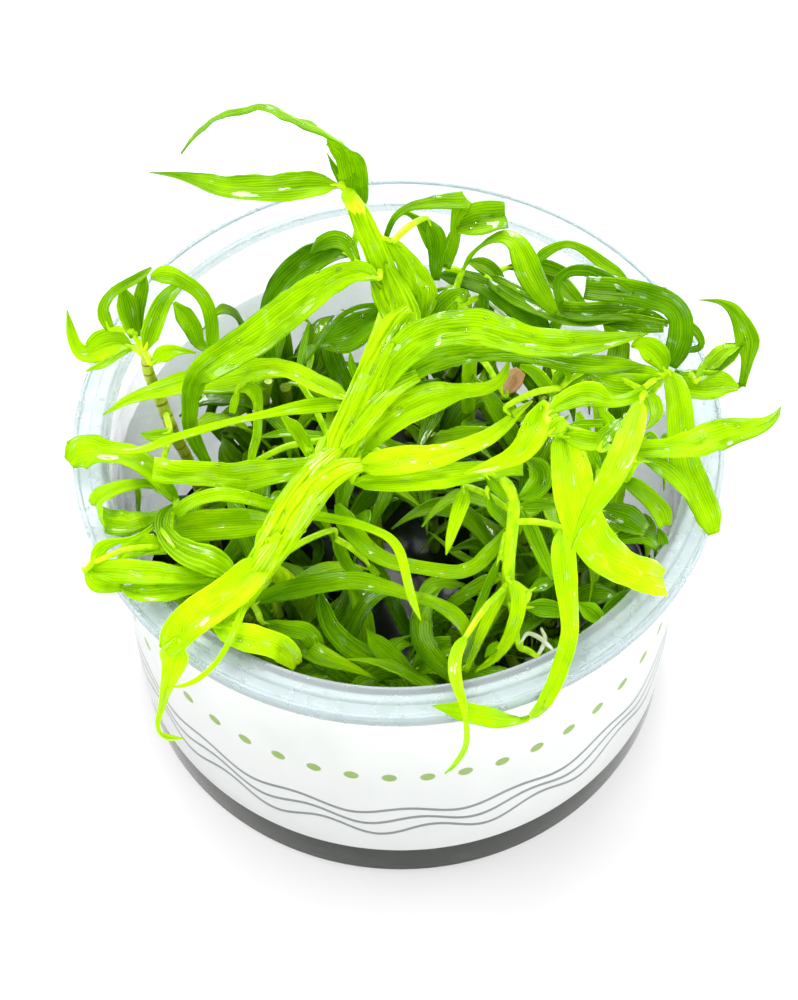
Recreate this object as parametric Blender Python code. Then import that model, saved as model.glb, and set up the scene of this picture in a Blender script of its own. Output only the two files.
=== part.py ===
"""Water stargrass growing out of a clear tissue-culture cup. Run in Blender 4.5.

The cup stands on the table at the origin, with +Z up. Leaves and stems are laid out as
someone sees them from one standing viewpoint above the front of the cup: each row of a leaf
gives how far across and down that view the leaf's middle lies, how high it is over the table,
how wide it looks from there and how far its blade is turned about its own length.
"""

import math

import bmesh
import bpy
from mathutils import Vector

MM = 0.001

# Cup, in millimetres
CUP_HEIGHT = 65.0
RIM_RADIUS = 52.0
RIM_THICKNESS = 1.1
RIM_SKIRT = 2.4
SKIRT_THICKNESS = 0.9
WALL_TOP_RADIUS = 47.0
WALL_FOOT_RADIUS = 45.8
WALL_THICKNESS = 0.9
FLOOR_THICKNESS = 1.1
FOOT_ROUNDING = 2.6
FLOOR_CORNER = 2.4
FLOOR_CORNER_STEP = 0.7
CUP_SEGMENTS = 40

# Label and gel
LABEL_LOW = 7.9
LABEL_HIGH = 51.3
LABEL_TILT = 2.7
LABEL_FOOT_TILT = 1.1
LABEL_THICKNESS = 0.35
LABEL_SEAM = math.radians(5)
LABEL_STEPS = 36
GAP = 0.3
GEL_TOP = 10.0
GEL_EDGE_RISE = 0.4
GEL_EDGE_WIDTH = 1.6
GEL_SEGMENTS = 24

CUP_CLEAR = (0.86, 0.9, 0.92)
LABEL_WHITE = (0.86, 0.87, 0.86)
GEL_DARK = (0.05, 0.07, 0.045)
LEAF_GREEN = (0.16, 0.42, 0.01)
STEM_GREEN = (0.24, 0.46, 0.03)

# The standing viewpoint: millimetres, degrees, and the view's own picture units
VIEW_AIM = Vector((-0.07, 0.0, 45.1))
VIEW_RISE = math.radians(57.06)
VIEW_DISTANCE = 477.5
VIEW_TILT = math.radians(-1.036)
VIEW_FOCUS = 2893.8
VIEW_MIDDLE = (399.0, 500.0)

VIEW_BACK = Vector((0.0, -math.cos(VIEW_RISE), math.sin(VIEW_RISE)))
VIEW_DOWN = Vector((0.0, -math.sin(VIEW_RISE), -math.cos(VIEW_RISE)))
VIEW_EYE = VIEW_AIM + VIEW_BACK * VIEW_DISTANCE

# Leaves: a narrow one is thinner than a broad one, and none looks narrower than LEAST_WIDTH
LEAF_THICKNESS = 0.5
THIN_LEAF = 0.25
THICKNESS_SHARE = 0.3
LEAF_CHANNEL = 0.12
EDGE_SHARE = 0.6
BROAD_HALF = 1.8
LEAST_WIDTH = 0.15
LEAST_COSINE = 0.35
MOST_STATIONS = 10

# A lower leaf's half width along it, as a share of its broadest
LOWER_STATIONS = 5
LOWER_FOOT = 0.45
LOWER_SWELL = 1.6
LOWER_TAPER = 2.6
LOWER_TIP = 0.08

# Stems: sides of a tube, where an upright one starts to lean, a lower one's two thicknesses
STEM_SIDES = 6
LEAN_SHARES = (0.35, 0.7)
LOWER_STEM_FOOT = 2.4
LOWER_STEM_HEAD = 2.1
LOWER_STEM_STATIONS = 5

# Each stem: where its foot stands in the gel, then rows of across, down, height, thickness
STEMS = {
    "top_shoot_stem": ((-4.0, 8.0), [
        (352, 410, 69, 2.4), (359, 388, 74, 2.5), (369, 360, 78.5, 2.6), (380, 333, 81.5, 2.7),
        (388, 308, 84, 2.8), (386, 288, 86.5, 2.9), (379, 268, 89, 3.0), (373, 250, 91, 3.0),
        (367, 232, 93, 3.0), (360, 215, 95, 2.9), (352, 201, 97, 2.7), (344, 188, 98.5, 2.0),
    ]),
    "middle_shoot_stem": ((-14.0, -12.0), [
        (262, 562, 62, 3.0), (274, 545, 68, 3.6), (290, 521, 71, 4.2), (306, 499, 73, 4.6),
        (322, 478, 74, 4.8), (337, 457, 74.5, 4.6), (350, 438, 74.5, 3.6),
    ]),
    "front_stem": ((15.0, -8.0), [
        (508, 600, 52, 1.8), (508, 578, 63, 2.1), (509, 560, 67, 2.0), (511, 540, 69.5, 2.0),
        (513, 520, 71.5, 2.0), (513, 503, 73, 2.1), (507, 488, 74, 2.4), (497, 479, 74.5, 2.2),
    ]),
    "left_ringed_stem": ((-31.0, 4.0), [
        (187, 458, 52, 1.9), (177, 440, 57, 2.0), (170, 424, 60.5, 2.0), (162, 404, 64, 2.0),
        (154, 386, 66.5, 1.9), (148, 370, 70.5, 1.8), (145, 352, 75, 1.5),
    ]),
    "right_shoot_stem": ((30.0, 6.0), [
        (628, 440, 62, 2.2), (640, 415, 71, 2.2), (652, 392, 75.5, 2.0),
    ]),
    "back_shoot_stem": ((12.0, 22.0), [
        (470, 335, 66, 2.4), (462, 312, 74, 2.4), (455, 292, 78.5, 2.0),
    ]),
}

# Each lower shoot: its stem's foot and head, then leaves by height on the stem, heading in degrees,
# reach, rise, droop of the tip and width
LOWER_SHOOTS = {
    "lower_left_shoot": ((-17.0, 22.0, 10.3), (-19.0, 24.0, 44.0), [
        (20, 165, 16, 30, 4, 4.6), (24, 345, 14, 14, 5, 3.8), (27, 125, 9, 24, 3, 4.6),
        (30, 270, 14, 18, 5, 3.6), (33, 205, 20, 22, 6, 4.4), (35, 15, 15, 14, 5, 3.8),
        (37, 60, 16, 14, 5, 4.4), (39, 340, 17, 12, 6, 3.8), (41, 100, 12, 12, 4, 4.2),
    ]),
    "lower_front_shoot": ((-20.0, -24.0, 10.3), (-18.0, -25.0, 42.0), [
        (20, 210, 13, 30, 3, 4.6), (27, 170, 20, 26, 5, 4.6), (33, 290, 15, 16, 5, 4.4),
        (35, 35, 20, 10, 5, 3.8), (38, 135, 18, 14, 6, 4.2),
    ]),
    "lower_right_shoot": ((26.0, -20.0, 10.3), (24.0, -19.0, 42.0), [
        (19, 320, 11, 32, 3, 4.6), (26, 15, 12, 24, 4, 4.6), (30, 110, 20, 16, 5, 3.8),
        (32, 270, 18, 20, 6, 4.4), (35, 125, 24, 12, 5, 3.8), (37, 95, 20, 14, 5, 3.6),
        (38, 345, 12, 14, 4, 4.2), (40, 235, 16, 12, 5, 4.2),
    ]),
}

# Each leaf: one or more blades, each with rows of across, down, height, seen width, turn
LEAVES = {
    "top_arching_leaf": [[
        (363, 214, 90.6, 1.2, 0), (358, 200, 93.2, 3.2, 6), (355, 187, 96.4, 4.2, 10),
        (354, 174, 100.6, 4.4, 14),
        (350, 160, 105, 4.2, 25), (343, 149, 108.8, 2.6, 55), (333, 139, 111, 1.2, 84),
        (320, 131, 112.1, 1.0, 96),
        (300, 122, 112.6, 1.4, 115), (283, 114.5, 112.6, 1.2, 115), (263, 106.5, 112, 0.8, 108),
        (240, 110, 109.6, 0.9, 112), (220, 115.5, 106.8, 0.9, 116), (203, 127, 103, 0.8, 124),
        (191, 139, 99.6, 0.4, 118), (181, 153, 96, 0.15, 110),
    ]],
    "top_lance_leaf": [[
        (339, 185, 99, 1.2, -14), (328, 185, 99.6, 2.7, -18), (314, 184.5, 100.2, 3.9, -20),
        (296, 186, 100.6, 4.4, -22),
        (272, 188, 100.6, 4.3, -24), (248, 188, 100.2, 3.9, -24), (226, 187, 99.4, 3.3, -24),
        (206, 182, 98.4, 2.6, -22), (190, 178, 97.4, 1.7, -20), (172, 174.5, 96.2, 0.9, -16),
        (150, 172.5, 95, 0.15, -12),
    ]],
    "folded_neck_leaf": [[
        (383, 238, 92.8, 1.8, 14), (393, 244, 92.2, 2.6, 16), (404, 256, 91, 3.2, 18),
        (413, 270, 90, 3.9, 16),
        (421, 284, 88.6, 4.3, 8), (424, 298, 86.8, 3.8, -14), (421, 311, 84.8, 2.6, -24),
        (415, 324, 83, 0.4, -20),
    ]],
    "big_diagonal_leaf": [[
        (379, 279, 92, 1.8, -8), (363, 271.5, 91, 3.0, -14), (346, 274, 90, 3.6, -16),
        (331, 281, 89.4, 4.2, -18),
        (314, 292, 88.6, 5.0, -18), (294, 307, 87.6, 5.5, -18), (274, 323, 86.4, 5.7, -16),
        (254, 338, 85, 5.7, -14),
        (234, 351, 83.4, 5.4, -10), (214, 363, 81.2, 4.9, -4), (200, 374, 78, 4.1, 12),
        (193, 388, 74, 3.4, 22),
        (190, 405, 69, 2.7, 20), (190, 424, 64, 2.5, 14), (196, 443, 59.5, 2.3, 8),
        (207, 463, 55, 1.6, 0),
    ]],
    "dark_back_leaf": [[
        (350, 255, 86, 2.0, 10), (334, 251, 85, 3.4, 4), (317, 256, 83.6, 4.4, -8),
        (301, 266, 82, 4.6, -14),
        (287, 279, 80, 4.4, -18), (276, 294, 77.6, 3.8, -18), (269, 312, 74.6, 3.2, -14),
        (266, 332, 71.4, 2.6, -8),
        (269, 351, 68.6, 2.0, 0), (275, 364, 66.4, 1.0, 4),
    ]],
    "long_left_leaf": [[
        (348, 399, 78.5, 2.2, -18), (334, 391, 78.8, 2.7, -22), (317, 383, 79, 2.8, -24),
        (300, 374, 79, 2.7, -24),
        (282, 368, 78.6, 2.6, -22), (263, 367.5, 77.6, 3.0, -20), (243, 372, 75.8, 3.4, -18),
        (223, 376, 74, 3.6, -18),
        (204, 379, 72.4, 3.6, -18), (185, 382, 71, 3.5, -20), (165, 387.5, 70, 2.9, -22),
        (145, 394, 69.2, 2.2, -24),
        (125, 402, 68.6, 1.5, -26), (103, 415, 67.8, 0.15, -28),
    ]],
    "thin_left_leaf": [[
        (346, 406, 77, 2.0, 10), (328, 404.5, 76.8, 2.4, 14), (309, 406, 76.4, 2.4, 16),
        (290, 409, 76, 1.9, 10),
        (269, 413.5, 75.4, 1.4, 0), (248, 418, 74.8, 1.2, -8), (228, 422.5, 74.2, 1.2, -14),
        (208, 428, 73.6, 1.3, -18),
        (189, 433.5, 73, 1.3, -20), (170, 439.5, 72.4, 1.3, -22), (150, 447, 71.8, 1.3, -24),
        (130, 451.5, 71.2, 1.0, -26),
        (112, 451, 70.7, 0.6, -24), (96, 446, 70.2, 0.15, -20),
    ]],
    "folded_tip_leaf": [[
        (178, 503, 62.6, 1.8, -10), (167, 489, 65.8, 2.4, -14), (153, 472, 68, 3.2, -20),
        (138, 460.5, 68.8, 3.5, -26),
        (121, 453, 69, 3.5, -30), (104, 452, 69, 3.6, -32), (90, 451, 68.8, 5.0, -30),
        (79, 454, 68.2, 5.0, -24),
        (69, 463, 67.2, 2.2, -14),
    ]],
    "ring_leaf": [[
        (158, 487, 61.4, 1.2, 10), (145, 483.5, 65.4, 1.5, -10), (128, 485, 69, 1.7, -30),
        (112, 489, 70.2, 2.0, -42),
        (101, 495, 70.8, 2.2, -52), (95, 504, 70.2, 1.9, -66), (98, 513, 68.8, 2.2, -100),
        (108, 520, 67, 3.8, -140),
        (123, 522, 66.9, 4.0, -148), (138, 520, 66.3, 3.2, -150), (152, 517, 63.2, 2.2, -152),
        (163, 513, 59.4, 1.2, -152),
    ]],
    "left_band_leaf": [[
        (153, 469, 71.8, 3.8, 18), (172, 472, 71.2, 3.8, 20), (196, 474, 70.6, 3.8, 20),
        (222, 475.5, 70, 4.0, 20),
        (248, 475.5, 69, 4.4, 18), (273, 472, 69.2, 4.2, 16), (296, 469, 69.4, 3.6, 12),
        (314, 464, 69.8, 2.4, 8),
        (327, 459, 70, 1.0, 4),
    ]],
    "long_grass_leaf": [[
        (170, 530, 60.5, 1.5, 20), (174, 517, 65, 1.9, 24), (185, 506, 68.6, 2.1, 24),
        (200, 498.5, 70.8, 2.2, 20),
        (218, 494.5, 71.8, 2.2, 16), (238, 496, 71.4, 2.1, 12), (258, 501, 70.4, 2.0, 8),
        (280, 507, 69.2, 1.8, 6),
        (303, 513, 68.4, 1.7, 4), (327, 517.5, 68.6, 1.5, 2), (351, 522, 69.4, 1.4, 0),
        (372, 529, 70.2, 1.3, -4),
        (389, 537.5, 70.4, 1.4, -8), (399, 550, 70, 1.5, -12), (404, 566, 69.2, 1.5, -10),
        (408, 583, 68.4, 1.4, -6),
        (413, 601, 67.4, 1.3, 0), (421, 621, 66, 0.15, 4),
    ]],
    "left_turning_leaf": [[
        (172, 505, 66.6, 1.2, 6), (164, 515, 67.6, 2.0, 14), (163, 529, 68.2, 2.4, 20),
        (173, 544, 68.8, 3.2, 18),
        (190, 554, 69.2, 4.2, 16), (208, 560, 69.2, 4.6, 14), (223, 568, 68.6, 4.0, 10),
        (234, 579, 67.4, 1.4, 6),
    ]],
    "low_left_leaf": [
        [
            (84, 569, 67.6, 1.8, 26), (96, 570, 68.2, 2.6, 28), (112, 571, 69, 3.4, 30),
            (132, 572.5, 69.6, 3.8, 28),
            (154, 573.5, 69, 3.6, 26), (176, 575.5, 67.6, 3.0, 22), (198, 577, 66, 2.4, 16),
            (219, 579, 64, 1.6, 10),
            (238, 582, 62.6, 0.8, 4),
        ],
        [
            (87, 571, 67.8, 2.4, -30), (95, 581, 66.6, 3.2, -20), (108, 585, 66.2, 2.6, -8),
            (123, 587.5, 66.8, 1.4, 0),
        ],
        [
            (120, 587, 66.8, 1.4, 10), (137, 592, 68.2, 2.6, 22), (156, 593, 68, 3.0, 26),
            (175, 590, 66.6, 2.8, 22),
            (194, 586, 65, 2.2, 14), (213, 583, 62, 1.2, 6),
        ],
    ],
    "small_loop_leaf": [[
        (93, 562, 69.4, 2.4, -20), (97, 552, 70.2, 2.3, -24), (106, 544.5, 70.4, 1.8, -30),
        (119, 541, 69.8, 1.0, -34),
        (133, 538, 68.8, 0.8, -20), (146, 532, 67.8, 0.9, -4), (154, 526, 67, 0.8, 6),
    ]],
    "middle_long_leaf": [
        [
            (264, 560, 69.6, 3.6, 4), (251, 573, 70.6, 5.0, 4), (234, 589, 71, 5.4, 6),
            (216, 602, 71, 5.4, 8),
            (199, 613, 70.8, 5.4, 10), (184, 626, 70.2, 5.2, 8), (173, 640, 69, 4.6, 0),
            (165, 652, 67.4, 2.6, -8),
        ],
        [
            (177, 638, 69.4, 2.4, -10), (175, 654, 67, 4.6, -14), (172, 671, 64.4, 3.2, -10),
            (166, 689, 60.6, 1.9, 0),
            (162, 706, 56.6, 1.2, 10), (157.5, 722, 53, 0.8, 20), (160, 733, 51, 0.7, 24),
            (170, 738, 50.4, 1.0, 20),
            (183.5, 738.5, 50.6, 0.2, 10),
        ],
    ],
    "thin_front_strand": [[
        (247, 600, 67.4, 1.2, 0), (241, 614, 68.6, 1.2, 6), (234, 631, 69.8, 1.1, 10),
        (226, 648, 69.2, 0.9, 12),
        (213, 666, 67.8, 0.8, 14), (198, 679, 66.3, 0.8, 16), (183, 685.5, 65, 0.6, 16),
        (167, 687, 64, 0.2, 14),
    ]],
    "broad_right_leaf": [[
        (352, 424, 77.4, 2.8, 4), (366, 399, 81, 4.2, 8), (383, 374, 84.6, 4.7, 12),
        (402, 353, 87.4, 5.2, 16),
        (424, 337, 89.4, 5.6, 18), (450, 329, 90.2, 5.6, 20), (478, 328, 90, 5.6, 20),
        (506, 335, 89.2, 5.2, 20),
        (535, 342, 88, 4.6, 20), (565, 344.5, 86.8, 4.2, 22), (595, 341.5, 86, 3.3, 22),
        (622, 338, 85.4, 1.9, 22),
        (649, 333.5, 84.8, 0.15, 20),
    ]],
    "second_right_leaf": [[
        (362, 418, 76.6, 2.0, 10), (383, 393, 80, 3.2, 14), (408, 373, 83, 3.8, 18),
        (436, 359, 84.8, 4.0, 20),
        (470, 352, 85.4, 3.6, 22), (506, 352, 85.2, 3.2, 24), (543, 357, 84.2, 3.0, 24),
        (580, 363, 83.2, 3.2, 22),
        (614, 364, 82.6, 2.6, 20), (645, 366, 82, 0.3, 16),
    ]],
    "wavy_leaf": [[
        (360, 452, 74.6, 2.4, 0), (375, 434, 77, 3.8, 6), (392, 419, 79, 4.6, 12),
        (412, 406, 80.4, 5.0, 18),
        (436, 397, 81, 4.6, 22), (460, 391.5, 81.4, 2.6, 26), (482, 389, 81.6, 2.1, 22),
        (497, 382.5, 81.8, 1.8, 6),
        (505, 372, 82, 1.3, -8), (509, 360, 82, 0.4, -12),
    ]],
    "middle_right_leaf": [[
        (358, 466, 74.6, 2.6, 4), (380, 463, 76.4, 4.0, 8), (407, 459.5, 77.6, 4.4, 12),
        (435, 456, 78.2, 3.6, 14),
        (461, 449, 78.4, 2.9, 14), (486, 438.5, 78.4, 2.6, 12), (505, 425, 78.2, 2.0, 8),
        (518, 412, 78, 1.3, 4),
        (532, 401, 78, 0.4, 0),
    ]],
    "lower_right_leaf": [[
        (352, 482, 71.6, 1.8, 8), (376, 481.5, 73, 3.0, 12), (402, 480, 74, 3.6, 16),
        (430, 477.5, 74.6, 4.0, 18),
        (457, 474, 74.8, 3.8, 20), (482, 471, 73.8, 3.0, 20), (504, 469.5, 72.2, 2.4, 18),
        (523, 470, 71.4, 1.8, 14),
    ]],
    "leaning_right_leaf": [[
        (543, 402, 84, 2.4, -6), (539, 418, 83.6, 4.0, -8), (532, 436, 82.8, 4.4, -10),
        (521, 451, 81.4, 3.6, -14),
        (505, 460.5, 80, 2.5, -18), (485, 467.5, 79, 1.7, -18), (463, 474, 78.4, 0.4, -14),
    ]],
    "wide_front_leaf": [[
        (563, 430, 84.4, 3.0, 0), (567, 450, 84.6, 5.0, 2), (571, 470, 84.2, 6.0, 4),
        (574, 492, 83.2, 6.3, 8),
        (579, 512, 81.8, 6.3, 10), (587, 530, 80, 6.3, 14), (599, 548, 78, 6.3, 16),
        (615, 562, 76, 5.9, 18),
        (635, 572, 74, 5.4, 20), (652, 578.5, 72.4, 5.2, 22), (666, 583, 71, 4.4, 22),
    ]],
    "pale_crossing_leaf": [[
        (641, 400, 84.4, 1.8, -6), (636, 418, 86.8, 3.2, -8), (629, 437, 88.4, 4.1, -8),
        (622, 455, 89, 4.1, -6),
        (613, 474, 89, 4.0, -4), (602, 492, 88.4, 3.5, 0), (591, 510, 87.4, 2.5, 4),
        (580, 529, 86.2, 1.4, 8),
        (571, 549, 85, 0.15, 10),
    ]],
    "hooked_leaf": [[
        (546, 416, 86.4, 1.2, 10), (559, 404.5, 87, 2.5, 14), (575, 397, 87.4, 3.5, 16),
        (592, 394.5, 87.4, 3.7, 18),
        (607, 400, 86.8, 2.4, 16), (622, 400.5, 85, 1.9, 10), (635, 396, 82.4, 1.9, 6),
        (645, 389, 80.4, 1.2, 0),
    ]],
    "right_hanging_leaf": [[
        (668, 370, 79.6, 1.8, -4), (675, 385, 79.6, 3.4, -6), (679, 403, 78.8, 4.1, -8),
        (681, 424, 77.4, 4.3, -8),
        (682, 447, 75.4, 4.4, -4), (687, 469, 73, 5.0, 2), (696, 488, 70.8, 4.8, 8),
        (704, 505, 69, 4.4, 12),
        (710, 520, 67.4, 3.8, 14), (714, 534, 65.8, 1.8, 14),
    ]],
    "right_tip_leaf": [[
        (606, 450, 80.8, 1.4, 18), (628, 449.5, 82, 2.4, 22), (652, 449, 82.4, 2.8, 24),
        (676, 447.5, 82.2, 3.4, 24),
        (698, 443, 81.6, 4.2, 22), (716, 435.5, 80.8, 4.8, 18), (733, 431, 80, 4.2, 14),
        (750, 428.5, 79.2, 3.2, 12),
        (765, 423.5, 78.2, 2.2, 8), (775, 416, 77.4, 1.3, 4), (781, 406.5, 76.6, 0.15, 0),
    ]],
    "dark_band_leaf": [
        [
            (585, 288, 88.4, 3.6, 20), (605, 289.5, 88.8, 3.8, 22), (628, 291.5, 88.8, 3.8, 22),
            (650, 297, 88, 3.8, 18),
            (669, 304, 86.6, 3.8, 12), (680, 317, 84.8, 3.8, 0), (681, 334, 82.8, 3.9, -8),
            (677, 351, 80.8, 3.6, -10),
            (671, 367, 79, 1.8, -8),
        ],
        [
            (561, 304, 83.6, 1.2, -20), (557, 291, 85.2, 1.3, -34), (559, 279, 86.6, 1.4, -40),
            (570, 271, 87.8, 1.7, -34),
            (586, 270, 88.4, 2.0, -24), (603, 276, 89, 2.0, -12), (620, 286, 89.1, 1.4, 0),
            (632, 293, 88.6, 1.0, 0),
        ],
    ],
    "back_band_leaf": [
        [
            (540, 302, 79.4, 1.6, 14), (558, 309.5, 80.6, 2.3, 18), (580, 313.5, 81.6, 2.6, 22),
            (603, 313, 82, 2.6, 24),
            (628, 313, 82, 2.6, 22), (650, 317, 81.2, 2.2, 18), (668, 324, 79.6, 1.0, 12),
        ],
        [
            (668, 323, 79.6, 0.8, 10), (682, 321, 79.8, 0.9, 10), (693, 328, 79.8, 1.4, 14),
            (700, 337, 79.6, 1.3, 6), (701.5, 345, 78.8, 1.0, -20),
            (696, 349, 77.6, 1.0, -34), (686, 350, 76.4, 0.8, -30),
        ],
    ],
    "thin_arch_leaf": [[
        (534, 262, 82.4, 1.8, 16), (545, 253, 85.4, 1.8, 10), (557, 246.5, 87.2, 1.4, 4),
        (568, 244, 88, 1.2, 0),
        (580, 247.5, 87.6, 1.4, -4), (592, 255, 86.6, 1.8, -4), (604, 264, 84.8, 2.0, 0),
        (617, 271.5, 82.6, 1.4, 6),
        (628, 280, 80.4, 0.3, 8),
    ]],
    "tall_arch_leaf": [[
        (463, 270, 80.6, 0.8, 20), (470, 257, 84.6, 0.8, 30), (480, 247, 88, 0.7, 40),
        (492, 239.5, 90.6, 1.2, 44),
        (505, 237, 92, 2.1, 38), (516, 244, 92, 3.2, 20), (523, 257, 90.8, 4.1, 8),
        (529, 272, 89, 4.3, 2),
        (537, 287, 86.8, 3.8, -2), (546, 301, 84.6, 2.8, -4), (556, 314, 82.6, 1.2, -4),
    ]],
    "back_arch_leaf": [
        [
            (386, 237, 86.6, 0.9, 10), (391, 224, 90, 1.0, 18), (398, 214.5, 92.8, 1.2, 24),
            (410, 207, 94.6, 1.4, 26),
            (425, 203.5, 95.6, 1.9, 24), (440, 201.5, 96, 2.4, 22), (454, 201, 95.8, 2.8, 20),
            (465, 200.5, 95, 2.8, 30),
        ],
        [
            (467, 199, 94.6, 2.2, 10), (459, 210, 94.2, 2.2, 10), (455, 224, 92.4, 1.5, 10),
            (454, 239, 90, 1.5, 8),
            (450, 254, 87.2, 1.9, 4), (446, 268, 84.4, 1.4, 0),
        ],
        [
            (456, 226, 92, 2.4, 20), (468, 222, 92.6, 4.6, 18), (481, 219, 93, 5.2, 18),
            (494, 216.5, 93, 4.6, 18),
            (506, 215, 92.8, 4.0, 16),
        ],
    ],
    "back_tapering_leaf": [[
        (426, 218, 91.4, 1.2, 14), (431, 227, 90.2, 2.6, 8), (436, 239, 88.2, 3.3, 2),
        (437, 252, 85.8, 2.8, -2),
        (436, 266, 83.2, 2.2, -4), (436, 280, 80.4, 1.2, -4),
    ]],
    "back_dark_leaf": [[
        (440, 275, 77.8, 2.2, 16), (456, 277, 78.6, 3.0, 18), (473, 281.5, 79, 3.2, 20),
        (490, 288, 79, 3.4, 20),
        (506, 298, 78.4, 3.9, 18), (521, 309, 77.6, 4.2, 14), (535, 320, 76.4, 3.6, 10),
        (548, 332, 75, 1.8, 6),
    ]],
    "right_curl_leaf": [
        [
            (699, 300, 80.4, 0.4, 10), (711, 300.5, 80.8, 0.6, 16), (723, 303, 80.8, 1.1, 20),
            (733, 309.5, 80.4, 2.2, 18),
            (740, 320, 79.6, 2.8, 10), (745, 332, 78.4, 3.6, 0), (748, 344, 77, 3.8, -8),
            (748, 357, 75.2, 2.2, -16),
            (745.5, 371, 73.4, 1.6, -20), (742, 386, 71.4, 1.2, -20),
        ],
        [
            (744, 384, 71.2, 1.0, -50), (732, 386.5, 71.8, 1.7, -42), (717, 386.5, 72.8, 1.8, -32),
            (702, 385.5, 73.8, 2.2, -24),
            (687, 381, 75, 2.8, -16), (673, 374, 76.4, 1.6, -8),
        ],
        [
            (745, 345, 76.9, 1.6, -10), (731, 351, 76.2, 3.0, -14), (716, 362, 76.4, 3.5, -14),
            (705, 373, 76.8, 2.8, -10),
            (696, 382, 77.4, 0.9, -6),
        ],
    ],
    "right_inner_leaf": [[
        (621, 478, 70, 1.0, 6), (632, 484, 71.6, 2.3, 10), (643, 492.5, 72.4, 2.8, 14),
        (654, 503, 72.2, 3.0, 16),
        (662, 514, 71, 3.2, 14), (665, 526, 69.2, 2.2, 10),
    ]],
    "front_forked_leaf": [
        [
            (508, 580, 64.8, 1.6, 8), (517, 591, 66, 2.2, 6), (518.5, 606, 66, 2.3, 2),
            (515, 622, 63.6, 2.3, -4),
            (509, 638, 60.6, 2.1, -8), (499, 653, 57.2, 1.6, -10), (487, 664, 54, 1.1, -10),
            (475, 672, 51.4, 0.4, -8),
        ],
        [
            (508, 581, 64.7, 1.4, 0), (499, 598, 63, 1.7, 4), (490, 615, 60.8, 1.8, 6),
            (480, 635, 58, 1.8, 4),
            (471, 654, 54.6, 1.7, 0), (465, 671, 51, 1.2, -4),
        ],
    ],
    "front_hanging_leaf": [[
        (466, 636, 66.4, 1.2, -10), (459, 647, 68.6, 1.8, -8), (455, 660, 69.8, 2.0, -4),
        (455, 674, 70.2, 2.0, 2),
        (458, 688, 70.8, 1.7, 10), (462, 701, 70.6, 1.4, 26), (465, 715, 69.2, 1.0, 46),
        (466, 730, 66, 0.8, 56),
        (464.5, 745, 61, 0.8, 52), (460, 757, 57.6, 0.8, 44), (453, 766, 54.8, 0.7, 36),
        (445, 773, 52.6, 0.2, 30),
    ]],
    "over_rim_leaf": [[
        (562, 528, 72.6, 1.6, 0), (563, 548, 74, 3.6, -4), (565, 570, 73.2, 3.8, -6),
        (567, 591, 72, 3.3, -8),
        (569, 611, 70.8, 2.9, -8), (570, 630, 69.8, 2.7, -6), (566, 650, 69, 2.7, 0),
        (560, 668, 67.8, 2.6, 10),
        (553, 686, 65.8, 2.4, 20), (544, 702, 63.6, 1.9, 40), (535, 713, 62, 1.1, 64),
        (525, 718, 61.6, 0.9, 100),
        (511, 719, 63.6, 1.9, 150), (495, 718, 65.4, 3.1, 168), (478, 715, 66.6, 3.1, 172),
        (461, 711.5, 67.3, 2.8, 170),
        (446, 708, 67.7, 1.6, 165), (432, 705.5, 68, 0.15, 160),
    ]],
    "middle_low_leaf": [[
        (337, 504, 67.6, 2.6, -8), (345, 520, 66.6, 3.2, -2), (357, 537, 65.8, 2.9, 4),
        (372, 552, 65, 2.6, 10),
        (391, 561.5, 65, 2.4, 16), (412, 566, 64.2, 2.3, 20), (435, 570, 63.6, 2.2, 22),
        (457, 572, 63.4, 2.3, 22),
        (475, 566, 64, 2.4, 16), (488, 554, 65.2, 2.4, 8), (499, 542, 66.6, 2.0, 2),
        (506, 530, 68.2, 1.0, 0),
    ]],
    "middle_band_leaf": [[
        (253, 606, 55, 0.6, 10), (267, 597, 56.6, 2.2, 14), (286, 591, 58.4, 3.0, 18),
        (306, 587, 60.2, 3.2, 20),
        (326, 583, 61.6, 3.0, 22), (348, 580.5, 62.4, 2.9, 22), (370, 583, 62.6, 2.8, 20),
        (392, 589, 62.4, 2.2, 18),
        (412, 596, 62, 1.8, 18), (432, 602, 61.6, 2.0, 16), (450, 611, 60.8, 2.4, 10),
        (462, 623, 59.2, 2.3, 0),
        (467, 637, 57, 1.2, -8),
    ]],
    "front_wide_low_leaf": [[
        (214, 625, 67.4, 2.2, 22), (226, 631, 67.6, 3.4, 24), (241, 637, 67.4, 4.1, 26),
        (258, 641, 66.6, 4.3, 26),
        (275, 646, 64.8, 4.2, 18), (288, 654, 61.6, 3.8, 6), (297, 665, 57.6, 2.0, 0),
    ]],
    "striped_front_leaf": [
        [
            (320, 592, 56, 1.6, 0), (324, 610, 55.6, 2.4, 6), (332, 628, 54.6, 2.9, 12),
            (346, 644, 53, 3.4, 14),
            (363, 656, 51, 3.4, 14), (382, 667, 48.6, 3.2, 12), (397, 679, 45.6, 3.0, 8),
            (408, 693, 42, 1.6, 4),
        ],
        [
            (305, 650, 52.6, 1.4, 8), (319, 657, 52, 3.2, 12), (336, 666, 50.4, 3.5, 14),
            (352, 677, 47.8, 3.4, 10),
            (372, 689, 44.4, 2.4, 6), (402, 691, 43, 1.2, 4),
        ],
    ],
    "middle_pointed_leaf": [[
        (465, 486, 69.6, 1.8, -4), (463, 498, 69.6, 2.5, -6), (458, 513, 68.8, 2.3, -8),
        (453, 529, 67.6, 1.8, -8),
        (449, 543, 66.4, 1.2, -6), (446, 555, 65.2, 0.2, -4),
    ]],
    "left_arching_leaf": [
        [
            (151, 277, 88.6, 2.4, 16), (161, 274.5, 89.4, 3.0, 18), (173, 276.5, 89.4, 2.8, 18),
            (185, 282, 88.8, 2.4, 14),
            (196, 289.5, 87.6, 2.2, 8), (205, 300.5, 85.6, 2.2, 2), (210, 314, 83.2, 2.2, -4),
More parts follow.
